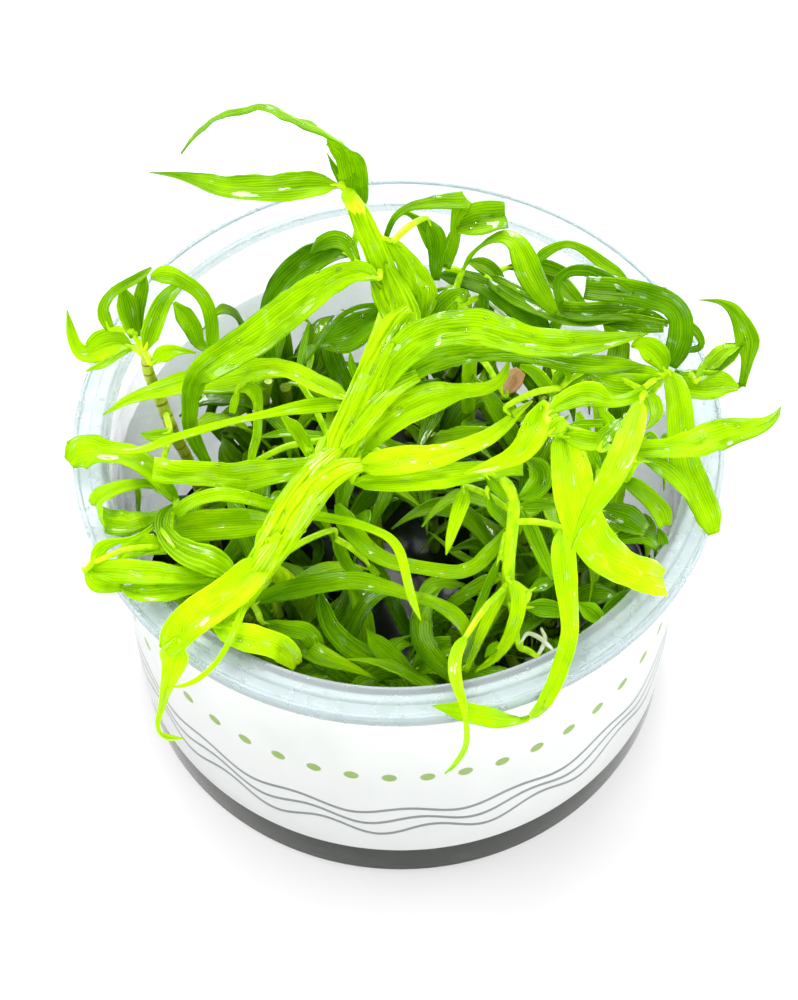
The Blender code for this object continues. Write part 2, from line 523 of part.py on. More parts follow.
            (212, 328, 80.4, 2.2, -6),
            (213, 343, 77.4, 2.0, -6), (215, 358, 74.4, 1.2, -4),
        ],
        [
            (174, 302, 81, 1.8, 10), (184, 315, 79.8, 3.2, 10), (193, 329, 77.8, 3.0, 6),
            (199, 343, 75.4, 2.0, 2),
            (213, 352, 75.4, 1.0, -2),
        ],
        [
            (145, 350, 77.6, 2.2, 0), (150, 335, 80, 3.0, 4), (155.5, 319, 82.2, 3.1, 6),
            (162, 304, 84, 2.8, 8),
            (171, 292.5, 86.8, 2.2, 10), (182, 284, 88.8, 1.0, 10),
        ],
    ],
    "left_loop_leaf": [
        [
            (151, 268, 84.2, 1.2, -10), (137, 278.5, 85, 1.5, -16), (123, 286, 84.6, 1.5, -24),
            (111, 295, 83.4, 1.6, -30),
            (104, 306, 81.6, 1.9, -24), (104.5, 317, 79.6, 2.1, -10), (110, 329, 77.6, 1.6, 0),
        ],
        [
            (144, 271, 84.7, 1.2, 0), (143, 284, 83.6, 2.0, 4), (140, 299, 81.6, 2.2, 4),
            (138, 313, 79.6, 2.0, 2),
            (138, 330, 77, 1.4, 0),
        ],
        [
            (122, 287, 84.4, 2.2, 6), (127, 305, 81.6, 3.6, 6), (131, 322, 79, 3.0, 4),
            (135, 337, 76.8, 1.8, 2),
        ],
    ],
    "left_pale_leaf": [[
        (134, 348, 73.8, 1.2, -10), (121, 343, 74.2, 3.6, -18), (107, 344, 74, 4.8, -24),
        (94, 350, 73, 4.2, -22),
        (83, 353, 72.4, 2.8, -16), (75.5, 345, 73, 2.0, -8), (71, 331, 74.6, 1.6, 0),
        (67, 310, 77, 0.15, 4),
    ]],
    "curled_bud_leaf": [
        [
            (391, 305, 82, 1.4, -20), (376, 317, 80.8, 3.4, -22), (360, 328, 79.6, 5.0, -20),
            (345, 336, 78.2, 5.4, -14),
            (330, 340, 76.4, 3.8, -4), (318, 344, 74.8, 1.0, 4),
        ],
        [
            (404, 301.5, 82.6, 0.9, 0), (390, 303.5, 82.2, 0.9, 0), (375, 305, 82.6, 0.8, 0),
            (357, 307.5, 82.4, 0.8, 0),
            (340, 317, 81.6, 0.8, 0), (325, 335, 79.6, 0.8, 0), (313, 351, 78, 0.7, 0),
            (302, 367, 76.4, 0.2, 0),
        ],
    ],
}


def seen(across, down, height):
    """The point at this height, in millimetres, that the standing viewpoint sees at (across, down)."""
    turned_x = across - VIEW_MIDDLE[0]
    turned_y = down - VIEW_MIDDLE[1]
    x = math.cos(VIEW_TILT) * turned_x + math.sin(VIEW_TILT) * turned_y
    y = math.cos(VIEW_TILT) * turned_y - math.sin(VIEW_TILT) * turned_x
    sight = Vector((x, 0.0, 0.0)) + VIEW_DOWN * y - VIEW_BACK * VIEW_FOCUS
    return VIEW_EYE + sight * ((height - VIEW_EYE.z) / sight.z)


def smooth_row(rows, where):
    """Reads the smooth curve through equal-length rows of numbers at where, from 0 to len(rows) - 1."""
    last = len(rows) - 1
    at = min(int(where), last - 1)
    t = where - at
    before = rows[at - 1] if at else [2 * a - b for a, b in zip(rows[0], rows[1])]
    after = rows[at + 2] if at + 2 <= last else [2 * a - b for a, b in zip(rows[last], rows[last - 1])]
    result = []
    for a, b, c, d in zip(before, rows[at], rows[at + 1], after):
        result.append(0.5 * (2 * b + (c - a) * t + (2 * a - 5 * b + 4 * c - d) * t * t
                             + (3 * b - a - 3 * c + d) * t ** 3))
    return result


def blade_frame(points, index):
    """Across the path and towards the viewer, as the viewpoint sees it."""
    ahead = points[min(index + 1, len(points) - 1)] - points[max(index - 1, 0)]
    ahead.normalize()
    to_viewer = (VIEW_EYE - points[index]).normalized()
    across = ahead.cross(to_viewer).normalized()
    return across, across.cross(ahead)


def new_mesh(rings):
    """A closed skin over equal rings of points, with flat ends."""
    mesh = bmesh.new()
    loops = [[mesh.verts.new(point * MM) for point in ring] for ring in rings]
    count = len(loops[0])
    for first, second in zip(loops, loops[1:]):
        for k in range(count):
            n = (k + 1) % count
            mesh.faces.new((first[k], first[n], second[n], second[k]))
    mesh.faces.new(loops[0][::-1])
    mesh.faces.new(loops[-1])
    bmesh.ops.recalc_face_normals(mesh, faces=mesh.faces)
    return mesh


def strap_mesh(points, sides, ups, halves, broad):
    """A closed, thin strap: a narrow one has a plain four-cornered section, a broad one is channelled."""
    rings = []
    for middle, side, up, half in zip(points, sides, ups, halves):
        thick = min(LEAF_THICKNESS, THIN_LEAF + half * THICKNESS_SHARE) / 2
        if broad:
            dip = half * LEAF_CHANNEL
            edge = thick * EDGE_SHARE
            rings.append([
                middle - side * half + up * (dip + edge), middle - up * dip + up * thick,
                middle + side * half + up * (dip + edge), middle + side * half + up * (dip - edge),
                middle - up * dip - up * thick, middle - side * half + up * (dip - edge),
            ])
        else:
            rings.append([
                middle - side * half + up * thick, middle + side * half + up * thick,
                middle + side * half - up * thick, middle - side * half - up * thick,
            ])
    return new_mesh(rings)


def blade_mesh(rows):
    """One leaf blade along its rows, turned as they say."""
    table = []
    for across, down, height, width, turn in rows:
        point = seen(across, down, height)
        table.append((point.x, point.y, point.z, width, turn))
    stations = min(MOST_STATIONS, len(rows) + 1)
    samples = [smooth_row(table, (len(rows) - 1) * k / (stations - 1)) for k in range(stations)]
    points = [Vector(sample[:3]) for sample in samples]
    sides, ups, halves = [], [], []
    for index, sample in enumerate(samples):
        across, towards = blade_frame(points, index)
        turn = math.radians(sample[4])
        sides.append(across * math.cos(turn) + towards * math.sin(turn))
        ups.append(towards * math.cos(turn) - across * math.sin(turn))
        halves.append(max(sample[3], LEAST_WIDTH) / 2 / max(abs(math.cos(turn)), LEAST_COSINE))
    return strap_mesh(points, sides, ups, halves, max(halves) > BROAD_HALF)


def lower_leaf_mesh(start, heading, reach, rise, droop, width):
    """One leaf of a lower shoot: it leaves the stem on its heading, rises and droops at its tip."""
    out = Vector((math.cos(math.radians(heading)), math.sin(math.radians(heading)), 0.0))
    side = Vector((-out.y, out.x, 0.0))
    points, sides, ups, halves = [], [], [], []
    for k in range(LOWER_STATIONS):
        t = k / (LOWER_STATIONS - 1)
        points.append(start + out * (reach * t) + Vector((0, 0, rise * (2 * t - t * t) - droop * t ** 3)))
        slope = Vector((0, 0, rise * (2 - 2 * t) - 3 * droop * t * t)) + out * reach
        ups.append(slope.cross(side).normalized())
        sides.append(side)
        share = min(1.0, LOWER_FOOT + LOWER_SWELL * t, LOWER_TAPER * (1 - t))
        halves.append(width / 2 * max(LOWER_TIP, share))
    return strap_mesh(points, sides, ups, halves, False)


def stem_mesh(foot, rows):
    """One stem: a round tube from its foot in the gel up through its rows."""
    first = seen(*rows[0][:3])
    table = [(foot[0], foot[1], GEL_TOP + GAP, rows[0][3])]
    for share in LEAN_SHARES:
        spot = Vector((foot[0], foot[1], GEL_TOP)).lerp(first, share)
        lean = Vector((foot[0], foot[1], spot.z)).lerp(spot, share)
        table.append((lean.x, lean.y, spot.z, rows[0][3]))
    for across, down, height, width in rows:
        point = seen(across, down, height)
        table.append((point.x, point.y, point.z, width))
    stations = len(rows) + 4
    return tube_mesh([smooth_row(table, (len(table) - 1) * k / (stations - 1)) for k in range(stations)])


def tube_mesh(samples):
    """A round tube through samples of (x, y, z, thickness)."""
    stations = len(samples)
    points = [Vector(sample[:3]) for sample in samples]
    rings = []
    for index, sample in enumerate(samples):
        ahead = (points[min(index + 1, stations - 1)] - points[max(index - 1, 0)]).normalized()
        if index == 0:
            ahead = Vector((0.0, 0.0, 1.0))
        side = ahead.cross(Vector((0.0, 1.0, 0.0))).normalized()
        other = ahead.cross(side)
        ring = []
        for k in range(STEM_SIDES):
            angle = 2 * math.pi * k / STEM_SIDES
            ring.append(points[index] + (side * math.cos(angle) + other * math.sin(angle)) * sample[3] / 2)
        rings.append(ring)
    return new_mesh(rings)


def lower_stem_mesh(foot, head):
    """A lower shoot's straight stem, a little thinner at its head."""
    samples = []
    for k in range(LOWER_STEM_STATIONS):
        share = k / (LOWER_STEM_STATIONS - 1)
        thickness = LOWER_STEM_FOOT + (LOWER_STEM_HEAD - LOWER_STEM_FOOT) * share
        samples.append((*foot.lerp(head, share), thickness))
    return tube_mesh(samples)


def disc_mesh(profile, segments):
    """A closed solid of revolution: (radius, height) points from the lower face's edge up."""
    rings = []
    for r, z in profile:
        ring = []
        for k in range(segments):
            angle = 2 * math.pi * k / segments
            ring.append(Vector((r * math.cos(angle), r * math.sin(angle), z)))
        rings.append(ring)
    return new_mesh(rings)


def material(name, colour, roughness, alpha=1.0):
    made = bpy.data.materials.new(name)
    made.use_nodes = True
    shader = made.node_tree.nodes["Principled BSDF"]
    shader.inputs["Base Color"].default_value = (*colour, 1.0)
    shader.inputs["Roughness"].default_value = roughness
    shader.inputs["Metallic"].default_value = 0.0
    shader.inputs["Alpha"].default_value = alpha
    return made


def add_piece(name, mesh, colour, roughness, alpha=1.0):
    data = bpy.data.meshes.new(name)
    mesh.to_mesh(data)
    mesh.free()
    piece = bpy.data.objects.new(name, data)
    bpy.context.scene.collection.objects.link(piece)
    data.materials.append(material(name + "_material", colour, roughness, alpha))
    for face in data.polygons:
        face.use_smooth = True
    return piece


def fuse(piece, others):
    """Joins other closed pieces to piece as one grown solid, and removes them."""
    for other in others:
        join = piece.modifiers.new("join", "BOOLEAN")
        join.operation = "UNION"
        join.solver = "EXACT"
        join.object = other
    graph = bpy.context.evaluated_depsgraph_get()
    joined = bpy.data.meshes.new_from_object(piece.evaluated_get(graph))
    for face in joined.polygons:
        face.material_index = 0
    while len(joined.materials) > 1:
        joined.materials.pop()
    piece.modifiers.clear()
    old = piece.data
    piece.data = joined
    bpy.data.meshes.remove(old)
    for other in others:
        bpy.data.objects.remove(other)


def wall_radius(height):
    """The cup wall's outer radius at this height."""
    return WALL_FOOT_RADIUS + (WALL_TOP_RADIUS - WALL_FOOT_RADIUS) * height / CUP_HEIGHT


def cup_profile():
    """The cup's cut section, floor to rim on the outside and back down on the inside."""
    foot = []
    for k in range(4):
        angle = math.pi / 2 * k / 3
        foot.append((WALL_FOOT_RADIUS - FOOT_ROUNDING * (1 - math.sin(angle)),
                     FOOT_ROUNDING * (1 - math.cos(angle))))
    rim = [
        (wall_radius(CUP_HEIGHT - RIM_THICKNESS), CUP_HEIGHT - RIM_THICKNESS),
        (RIM_RADIUS - SKIRT_THICKNESS, CUP_HEIGHT - RIM_THICKNESS),
        (RIM_RADIUS - SKIRT_THICKNESS, CUP_HEIGHT - RIM_SKIRT),
        (RIM_RADIUS, CUP_HEIGHT - RIM_SKIRT),
        (RIM_RADIUS, CUP_HEIGHT),
        (WALL_TOP_RADIUS - WALL_THICKNESS, CUP_HEIGHT),
    ]
    inner = wall_radius(FLOOR_THICKNESS + FLOOR_CORNER) - WALL_THICKNESS
    inside = [
        (inner, FLOOR_THICKNESS + FLOOR_CORNER),
        (inner - FLOOR_CORNER_STEP, FLOOR_THICKNESS + FLOOR_CORNER_STEP),
        (inner - FLOOR_CORNER, FLOOR_THICKNESS),
    ]
    return foot + rim + inside


def cup_mesh():
    """The cup with its floor closed: the section turned, with flat discs at the middle."""
    profile = cup_profile()
    mesh = bmesh.new()
    rings = []
    for r, z in profile:
        ring = []
        for k in range(CUP_SEGMENTS):
            angle = 2 * math.pi * k / CUP_SEGMENTS
            ring.append(mesh.verts.new(Vector((r * math.cos(angle), r * math.sin(angle), z)) * MM))
        rings.append(ring)
    for first, second in zip(rings, rings[1:]):
        for k in range(CUP_SEGMENTS):
            n = (k + 1) % CUP_SEGMENTS
            mesh.faces.new((first[k], first[n], second[n], second[k]))
    mesh.faces.new(rings[0][::-1])
    mesh.faces.new(rings[-1])
    bmesh.ops.recalc_face_normals(mesh, faces=mesh.faces)
    return mesh


def label_mesh():
    """The label: a thin band round the wall, wound on a little askew, open at its seam behind."""
    rings = []
    for k in range(LABEL_STEPS + 1):
        angle = math.pi / 2 + LABEL_SEAM / 2 + (2 * math.pi - LABEL_SEAM) * k / LABEL_STEPS
        out = Vector((math.cos(angle), math.sin(angle), 0.0))
        low = LABEL_LOW - LABEL_FOOT_TILT * out.y
        high = LABEL_HIGH - LABEL_TILT * out.y
        ring = []
        for height, lift in ((low, GAP), (low, GAP + LABEL_THICKNESS),
                             (high, GAP + LABEL_THICKNESS), (high, GAP)):
            ring.append(out * (wall_radius(height) + lift) + Vector((0.0, 0.0, height)))
        rings.append(ring)
    return new_mesh(rings)


def gel_mesh():
    """The gel: it fills the cup's foot, with its surface drawn up a little at the wall."""
    inner = wall_radius(FLOOR_THICKNESS + FLOOR_CORNER) - WALL_THICKNESS
    upper = wall_radius(GEL_TOP) - WALL_THICKNESS
    return disc_mesh([
        (inner - FLOOR_CORNER - 0.4, FLOOR_THICKNESS + GAP),
        (inner - FLOOR_CORNER / 2, FLOOR_THICKNESS + GAP + 0.8),
        (inner - GAP - 0.1, FLOOR_THICKNESS + FLOOR_CORNER + 0.2),
        (upper - GAP, GEL_TOP + GEL_EDGE_RISE),
        (upper - GEL_EDGE_WIDTH, GEL_TOP),
    ], GEL_SEGMENTS)


def build():
    add_piece("cup", cup_mesh(), CUP_CLEAR, 0.08, alpha=0.35)
    add_piece("label", label_mesh(), LABEL_WHITE, 0.35)
    add_piece("nutrient_gel", gel_mesh(), GEL_DARK, 0.15)
    for name, (foot, rows) in STEMS.items():
        add_piece(name, stem_mesh(foot, rows), STEM_GREEN, 0.4)
    for name, (foot, head, leaves) in LOWER_SHOOTS.items():
        foot, head = Vector(foot), Vector(head)
        stem = add_piece(name, lower_stem_mesh(foot, head), STEM_GREEN, 0.4)
        parts = []
        for height, *shape in leaves:
            start = foot.lerp(head, (height - foot.z) / (head.z - foot.z))
            parts.append(add_piece(name + "_leaf", lower_leaf_mesh(start, *shape), LEAF_GREEN, 0.4))
        fuse(stem, parts)
    for name, blades in LEAVES.items():
        pieces = []
        for rows in blades:
            part = name if not pieces else name + "_fold"
            pieces.append(add_piece(part, blade_mesh(rows), LEAF_GREEN, 0.35))
        if len(pieces) > 1:
            fuse(pieces[0], pieces[1:])


for old in list(bpy.data.objects):
    bpy.data.objects.remove(old)
build()
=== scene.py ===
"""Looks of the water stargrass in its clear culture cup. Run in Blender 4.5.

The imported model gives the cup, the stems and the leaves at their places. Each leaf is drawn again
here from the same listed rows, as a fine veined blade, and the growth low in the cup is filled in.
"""

import math

import bmesh
import bpy
import numpy as np
from mathutils import Matrix, Vector


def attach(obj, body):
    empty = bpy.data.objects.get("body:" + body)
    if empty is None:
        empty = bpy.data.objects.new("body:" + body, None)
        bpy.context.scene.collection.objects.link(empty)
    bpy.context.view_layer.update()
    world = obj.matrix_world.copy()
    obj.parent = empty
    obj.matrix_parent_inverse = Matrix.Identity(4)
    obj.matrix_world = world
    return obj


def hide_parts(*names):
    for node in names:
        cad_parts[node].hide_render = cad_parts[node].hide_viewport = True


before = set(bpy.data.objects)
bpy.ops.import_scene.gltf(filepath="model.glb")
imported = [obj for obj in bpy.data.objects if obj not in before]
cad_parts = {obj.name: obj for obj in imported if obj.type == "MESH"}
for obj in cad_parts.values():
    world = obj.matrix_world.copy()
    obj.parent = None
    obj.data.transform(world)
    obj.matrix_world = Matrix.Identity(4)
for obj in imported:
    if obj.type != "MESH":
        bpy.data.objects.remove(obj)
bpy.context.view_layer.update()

MM = 0.001

# Cup, label and gel, in millimetres, as they are in the model
CUP_HEIGHT = 65.0
CUP_FLOOR = 1.0
RIM_RADIUS = 52.0
WALL_TOP_RADIUS = 47.0
WALL_FOOT_RADIUS = 45.8
WALL_THICKNESS = 0.9
FOOT_CORNER = 1.0
LABEL_LOW = 7.9
LABEL_HIGH = 51.3
LABEL_TILT = 2.7
LABEL_SEAM = math.radians(5)
GEL_FOOT = 0.9
GEL_TOP = 10.0

# The label's plain print: sixteen swells round the label in each of three lines, and 48 round spots.
# Heights and distances are in millimetres. The ink fades out between the two distances of an edge
WAVES_ROUND = 16.0
WAVE_SWELLS = (1.7, 1.4, 1.1)
WAVE_LOW = 17.0
WAVE_GAP = 3.4
LINE_EDGE = (0.38, 0.52)
SPOTS_ROUND = 48
SPOT_HEIGHT = 36.0
SPOT_EDGE = (1.15, 1.3)

# The standing viewpoint that the rows are given from: millimetres, degrees, picture units
VIEW_AIM = Vector((-0.07, 0.0, 45.1))
VIEW_RISE = math.radians(57.06)
VIEW_DISTANCE = 477.5
VIEW_TILT = math.radians(-1.036)
VIEW_FOCUS = 2893.8
VIEW_MIDDLE = (399.0, 500.0)
PICTURE_TALL = 1000

VIEW_BACK = Vector((0.0, -math.cos(VIEW_RISE), math.sin(VIEW_RISE)))
VIEW_DOWN = Vector((0.0, -math.sin(VIEW_RISE), -math.cos(VIEW_RISE)))
VIEW_EYE = VIEW_AIM + VIEW_BACK * VIEW_DISTANCE

# Leaf sizes, in millimetres: the steps are those between the stations along a blade or a stem
LEAF_THICKNESS = 0.2
LEAST_WIDTH = 0.15
FOOT_LENGTH = 3.2
STATION_STEP = 0.75
LOW_STATION_STEP = 1.6
STEM_STEP = 0.6
WAVE_LENGTH = 7.0
CRUMPLE_LENGTH = 2.4
DRIFT_LENGTH = 16.6667
# Blades of one piece lie this far from one another on the map of its patterns
BLADE_GAP = 40
# A turned blade counts as no narrower to the eye than this share of its width
LEAST_COSINE = 0.35

# Pattern sizes on leaves and stems, in millimetres
VEIN_SPACING = 0.42
STREAK_WIDTH = 0.77
# The next width is that of the painted bands of fold light and fold shade on the leaves
FOLD_SHADE_WIDTH = 2.38
PATCH_WIDTH = 7.7
PORE_WIDTH = 0.2
POOL_WIDTH = 3.33
FIBRE_WIDTH = 1.11
FIBRE_LENGTH = 11.1
OLD_RING_GAP = 2.3

# The growth low in the cup: millimetres, and the degrees from one leaf to the next round a stem
SIDE_SHOOTS = 10
SIDE_LEAVES = 9
LEAF_TURN = 137.5
FOOT_REACH = 40
TOP_REACH = 39
LOW_LEAF_TOP = 58
WALL_CLEARANCE = 1.6
GEL_CLEARANCE = 1.2

# Stalks between stems and leaf feet, in millimetres: their thickness, and how far off a stem may be
STALK_WIDTH = 1.1
FARTHEST_STEM = 40.0
NEAR_STEM = 4.0

# Each lamp: its name, place and size in metres, and its power in watts
LAMPS = (
    ("key", (-0.16, -0.02, 0.62), 0.2, 1.2), ("fill", (0.25, -0.55, 0.22), 0.5, 2.4),
    ("left", (-0.55, 0.05, 0.16), 0.4, 2.4), ("right", (0.55, 0.1, 0.16), 0.4, 2.0),
    ("back", (0.15, 0.5, 0.35), 0.4, 2.8), ("gloss", (-0.06, 0.36, 0.6), 0.4, 10.0),
)

# Node kinds that are used most
MATH = "ShaderNodeMath"
VECTOR_MATH = "ShaderNodeVectorMath"
NOISE = "ShaderNodeTexNoise"
MAP_RANGE = "ShaderNodeMapRange"
RAMP = "ShaderNodeValToRGB"
MIX = "ShaderNodeMix"
PRINCIPLED = "ShaderNodeBsdfPrincipled"
OWN = "GeometryNodeInputNamedAttribute"

# Each stem: where its foot stands in the gel, then rows of across, down, height, thickness
STEMS = {
    "top_shoot_stem": ((-4.0, 8.0), [
        (352, 410, 69, 2.4), (359, 388, 74, 2.5), (369, 360, 78.5, 2.6), (380, 333, 81.5, 2.7),
        (388, 308, 84, 2.8), (386, 288, 86.5, 2.9), (379, 268, 89, 3.0), (373, 250, 91, 3.0),
        (367, 232, 93, 3.0), (360, 215, 95, 2.9), (352, 201, 97, 2.7), (344, 188, 98.5, 2.0),
    ]),
    "middle_shoot_stem": ((-14.0, -12.0), [
        (262, 562, 62, 3.0), (274, 545, 68, 3.6), (290, 521, 71, 4.2), (306, 499, 73, 4.6),
        (322, 478, 74, 4.8), (337, 457, 74.5, 4.6), (350, 438, 74.5, 3.6),
    ]),
    "front_stem": ((15.0, -8.0), [
        (508, 600, 52, 1.8), (508, 578, 63, 2.1), (509, 560, 67, 2.0), (511, 540, 69.5, 2.0),
        (513, 520, 71.5, 2.0), (513, 503, 73, 2.1), (507, 488, 74, 2.4), (497, 479, 74.5, 2.2),
    ]),
    "left_ringed_stem": ((-31.0, 4.0), [
        (187, 458, 52, 1.9), (177, 440, 57, 2.0), (170, 424, 60.5, 2.0), (162, 404, 64, 2.0),
        (154, 386, 66.5, 1.9), (148, 370, 70.5, 1.8), (145, 352, 75, 1.5),
    ]),
    "right_shoot_stem": ((30.0, 6.0), [
        (628, 440, 62, 2.2), (640, 415, 71, 2.2), (652, 392, 75.5, 2.0),
    ]),
    "back_shoot_stem": ((12.0, 22.0), [
        (470, 335, 66, 2.4), (462, 312, 74, 2.4), (455, 292, 78.5, 2.0),
    ]),
}

# Each lower shoot: its stem's foot and head, the sector of the cup that its side shoots fill, then
# leaves by height on the stem, heading in degrees, reach, rise, droop of the tip and width
LOWER_SHOOTS = {
    "lower_left_shoot": ((-17.0, 22.0, 10.3), (-19.0, 24.0, 44.0), (60, 180), [
        (20, 165, 16, 30, 4, 4.6), (24, 345, 14, 14, 5, 3.8), (27, 125, 9, 24, 3, 4.6),
        (30, 270, 14, 18, 5, 3.6), (33, 205, 20, 22, 6, 4.4), (35, 15, 15, 14, 5, 3.8),
        (37, 60, 16, 14, 5, 4.4), (39, 340, 17, 12, 6, 3.8), (41, 100, 12, 12, 4, 4.2),
    ]),
    "lower_front_shoot": ((-20.0, -24.0, 10.3), (-18.0, -25.0, 42.0), (180, 300), [
        (20, 210, 13, 30, 3, 4.6), (27, 170, 20, 26, 5, 4.6), (33, 290, 15, 16, 5, 4.4),
        (35, 35, 20, 10, 5, 3.8), (38, 135, 18, 14, 6, 4.2),
    ]),
    "lower_right_shoot": ((26.0, -20.0, 10.3), (24.0, -19.0, 42.0), (-60, 60), [
        (19, 320, 11, 32, 3, 4.6), (26, 15, 12, 24, 4, 4.6), (30, 110, 20, 16, 5, 3.8),
        (32, 270, 18, 20, 6, 4.4), (35, 125, 24, 12, 5, 3.8), (37, 95, 20, 14, 5, 3.6),
        (38, 345, 12, 14, 4, 4.2), (40, 235, 16, 12, 5, 4.2),
    ]),
}

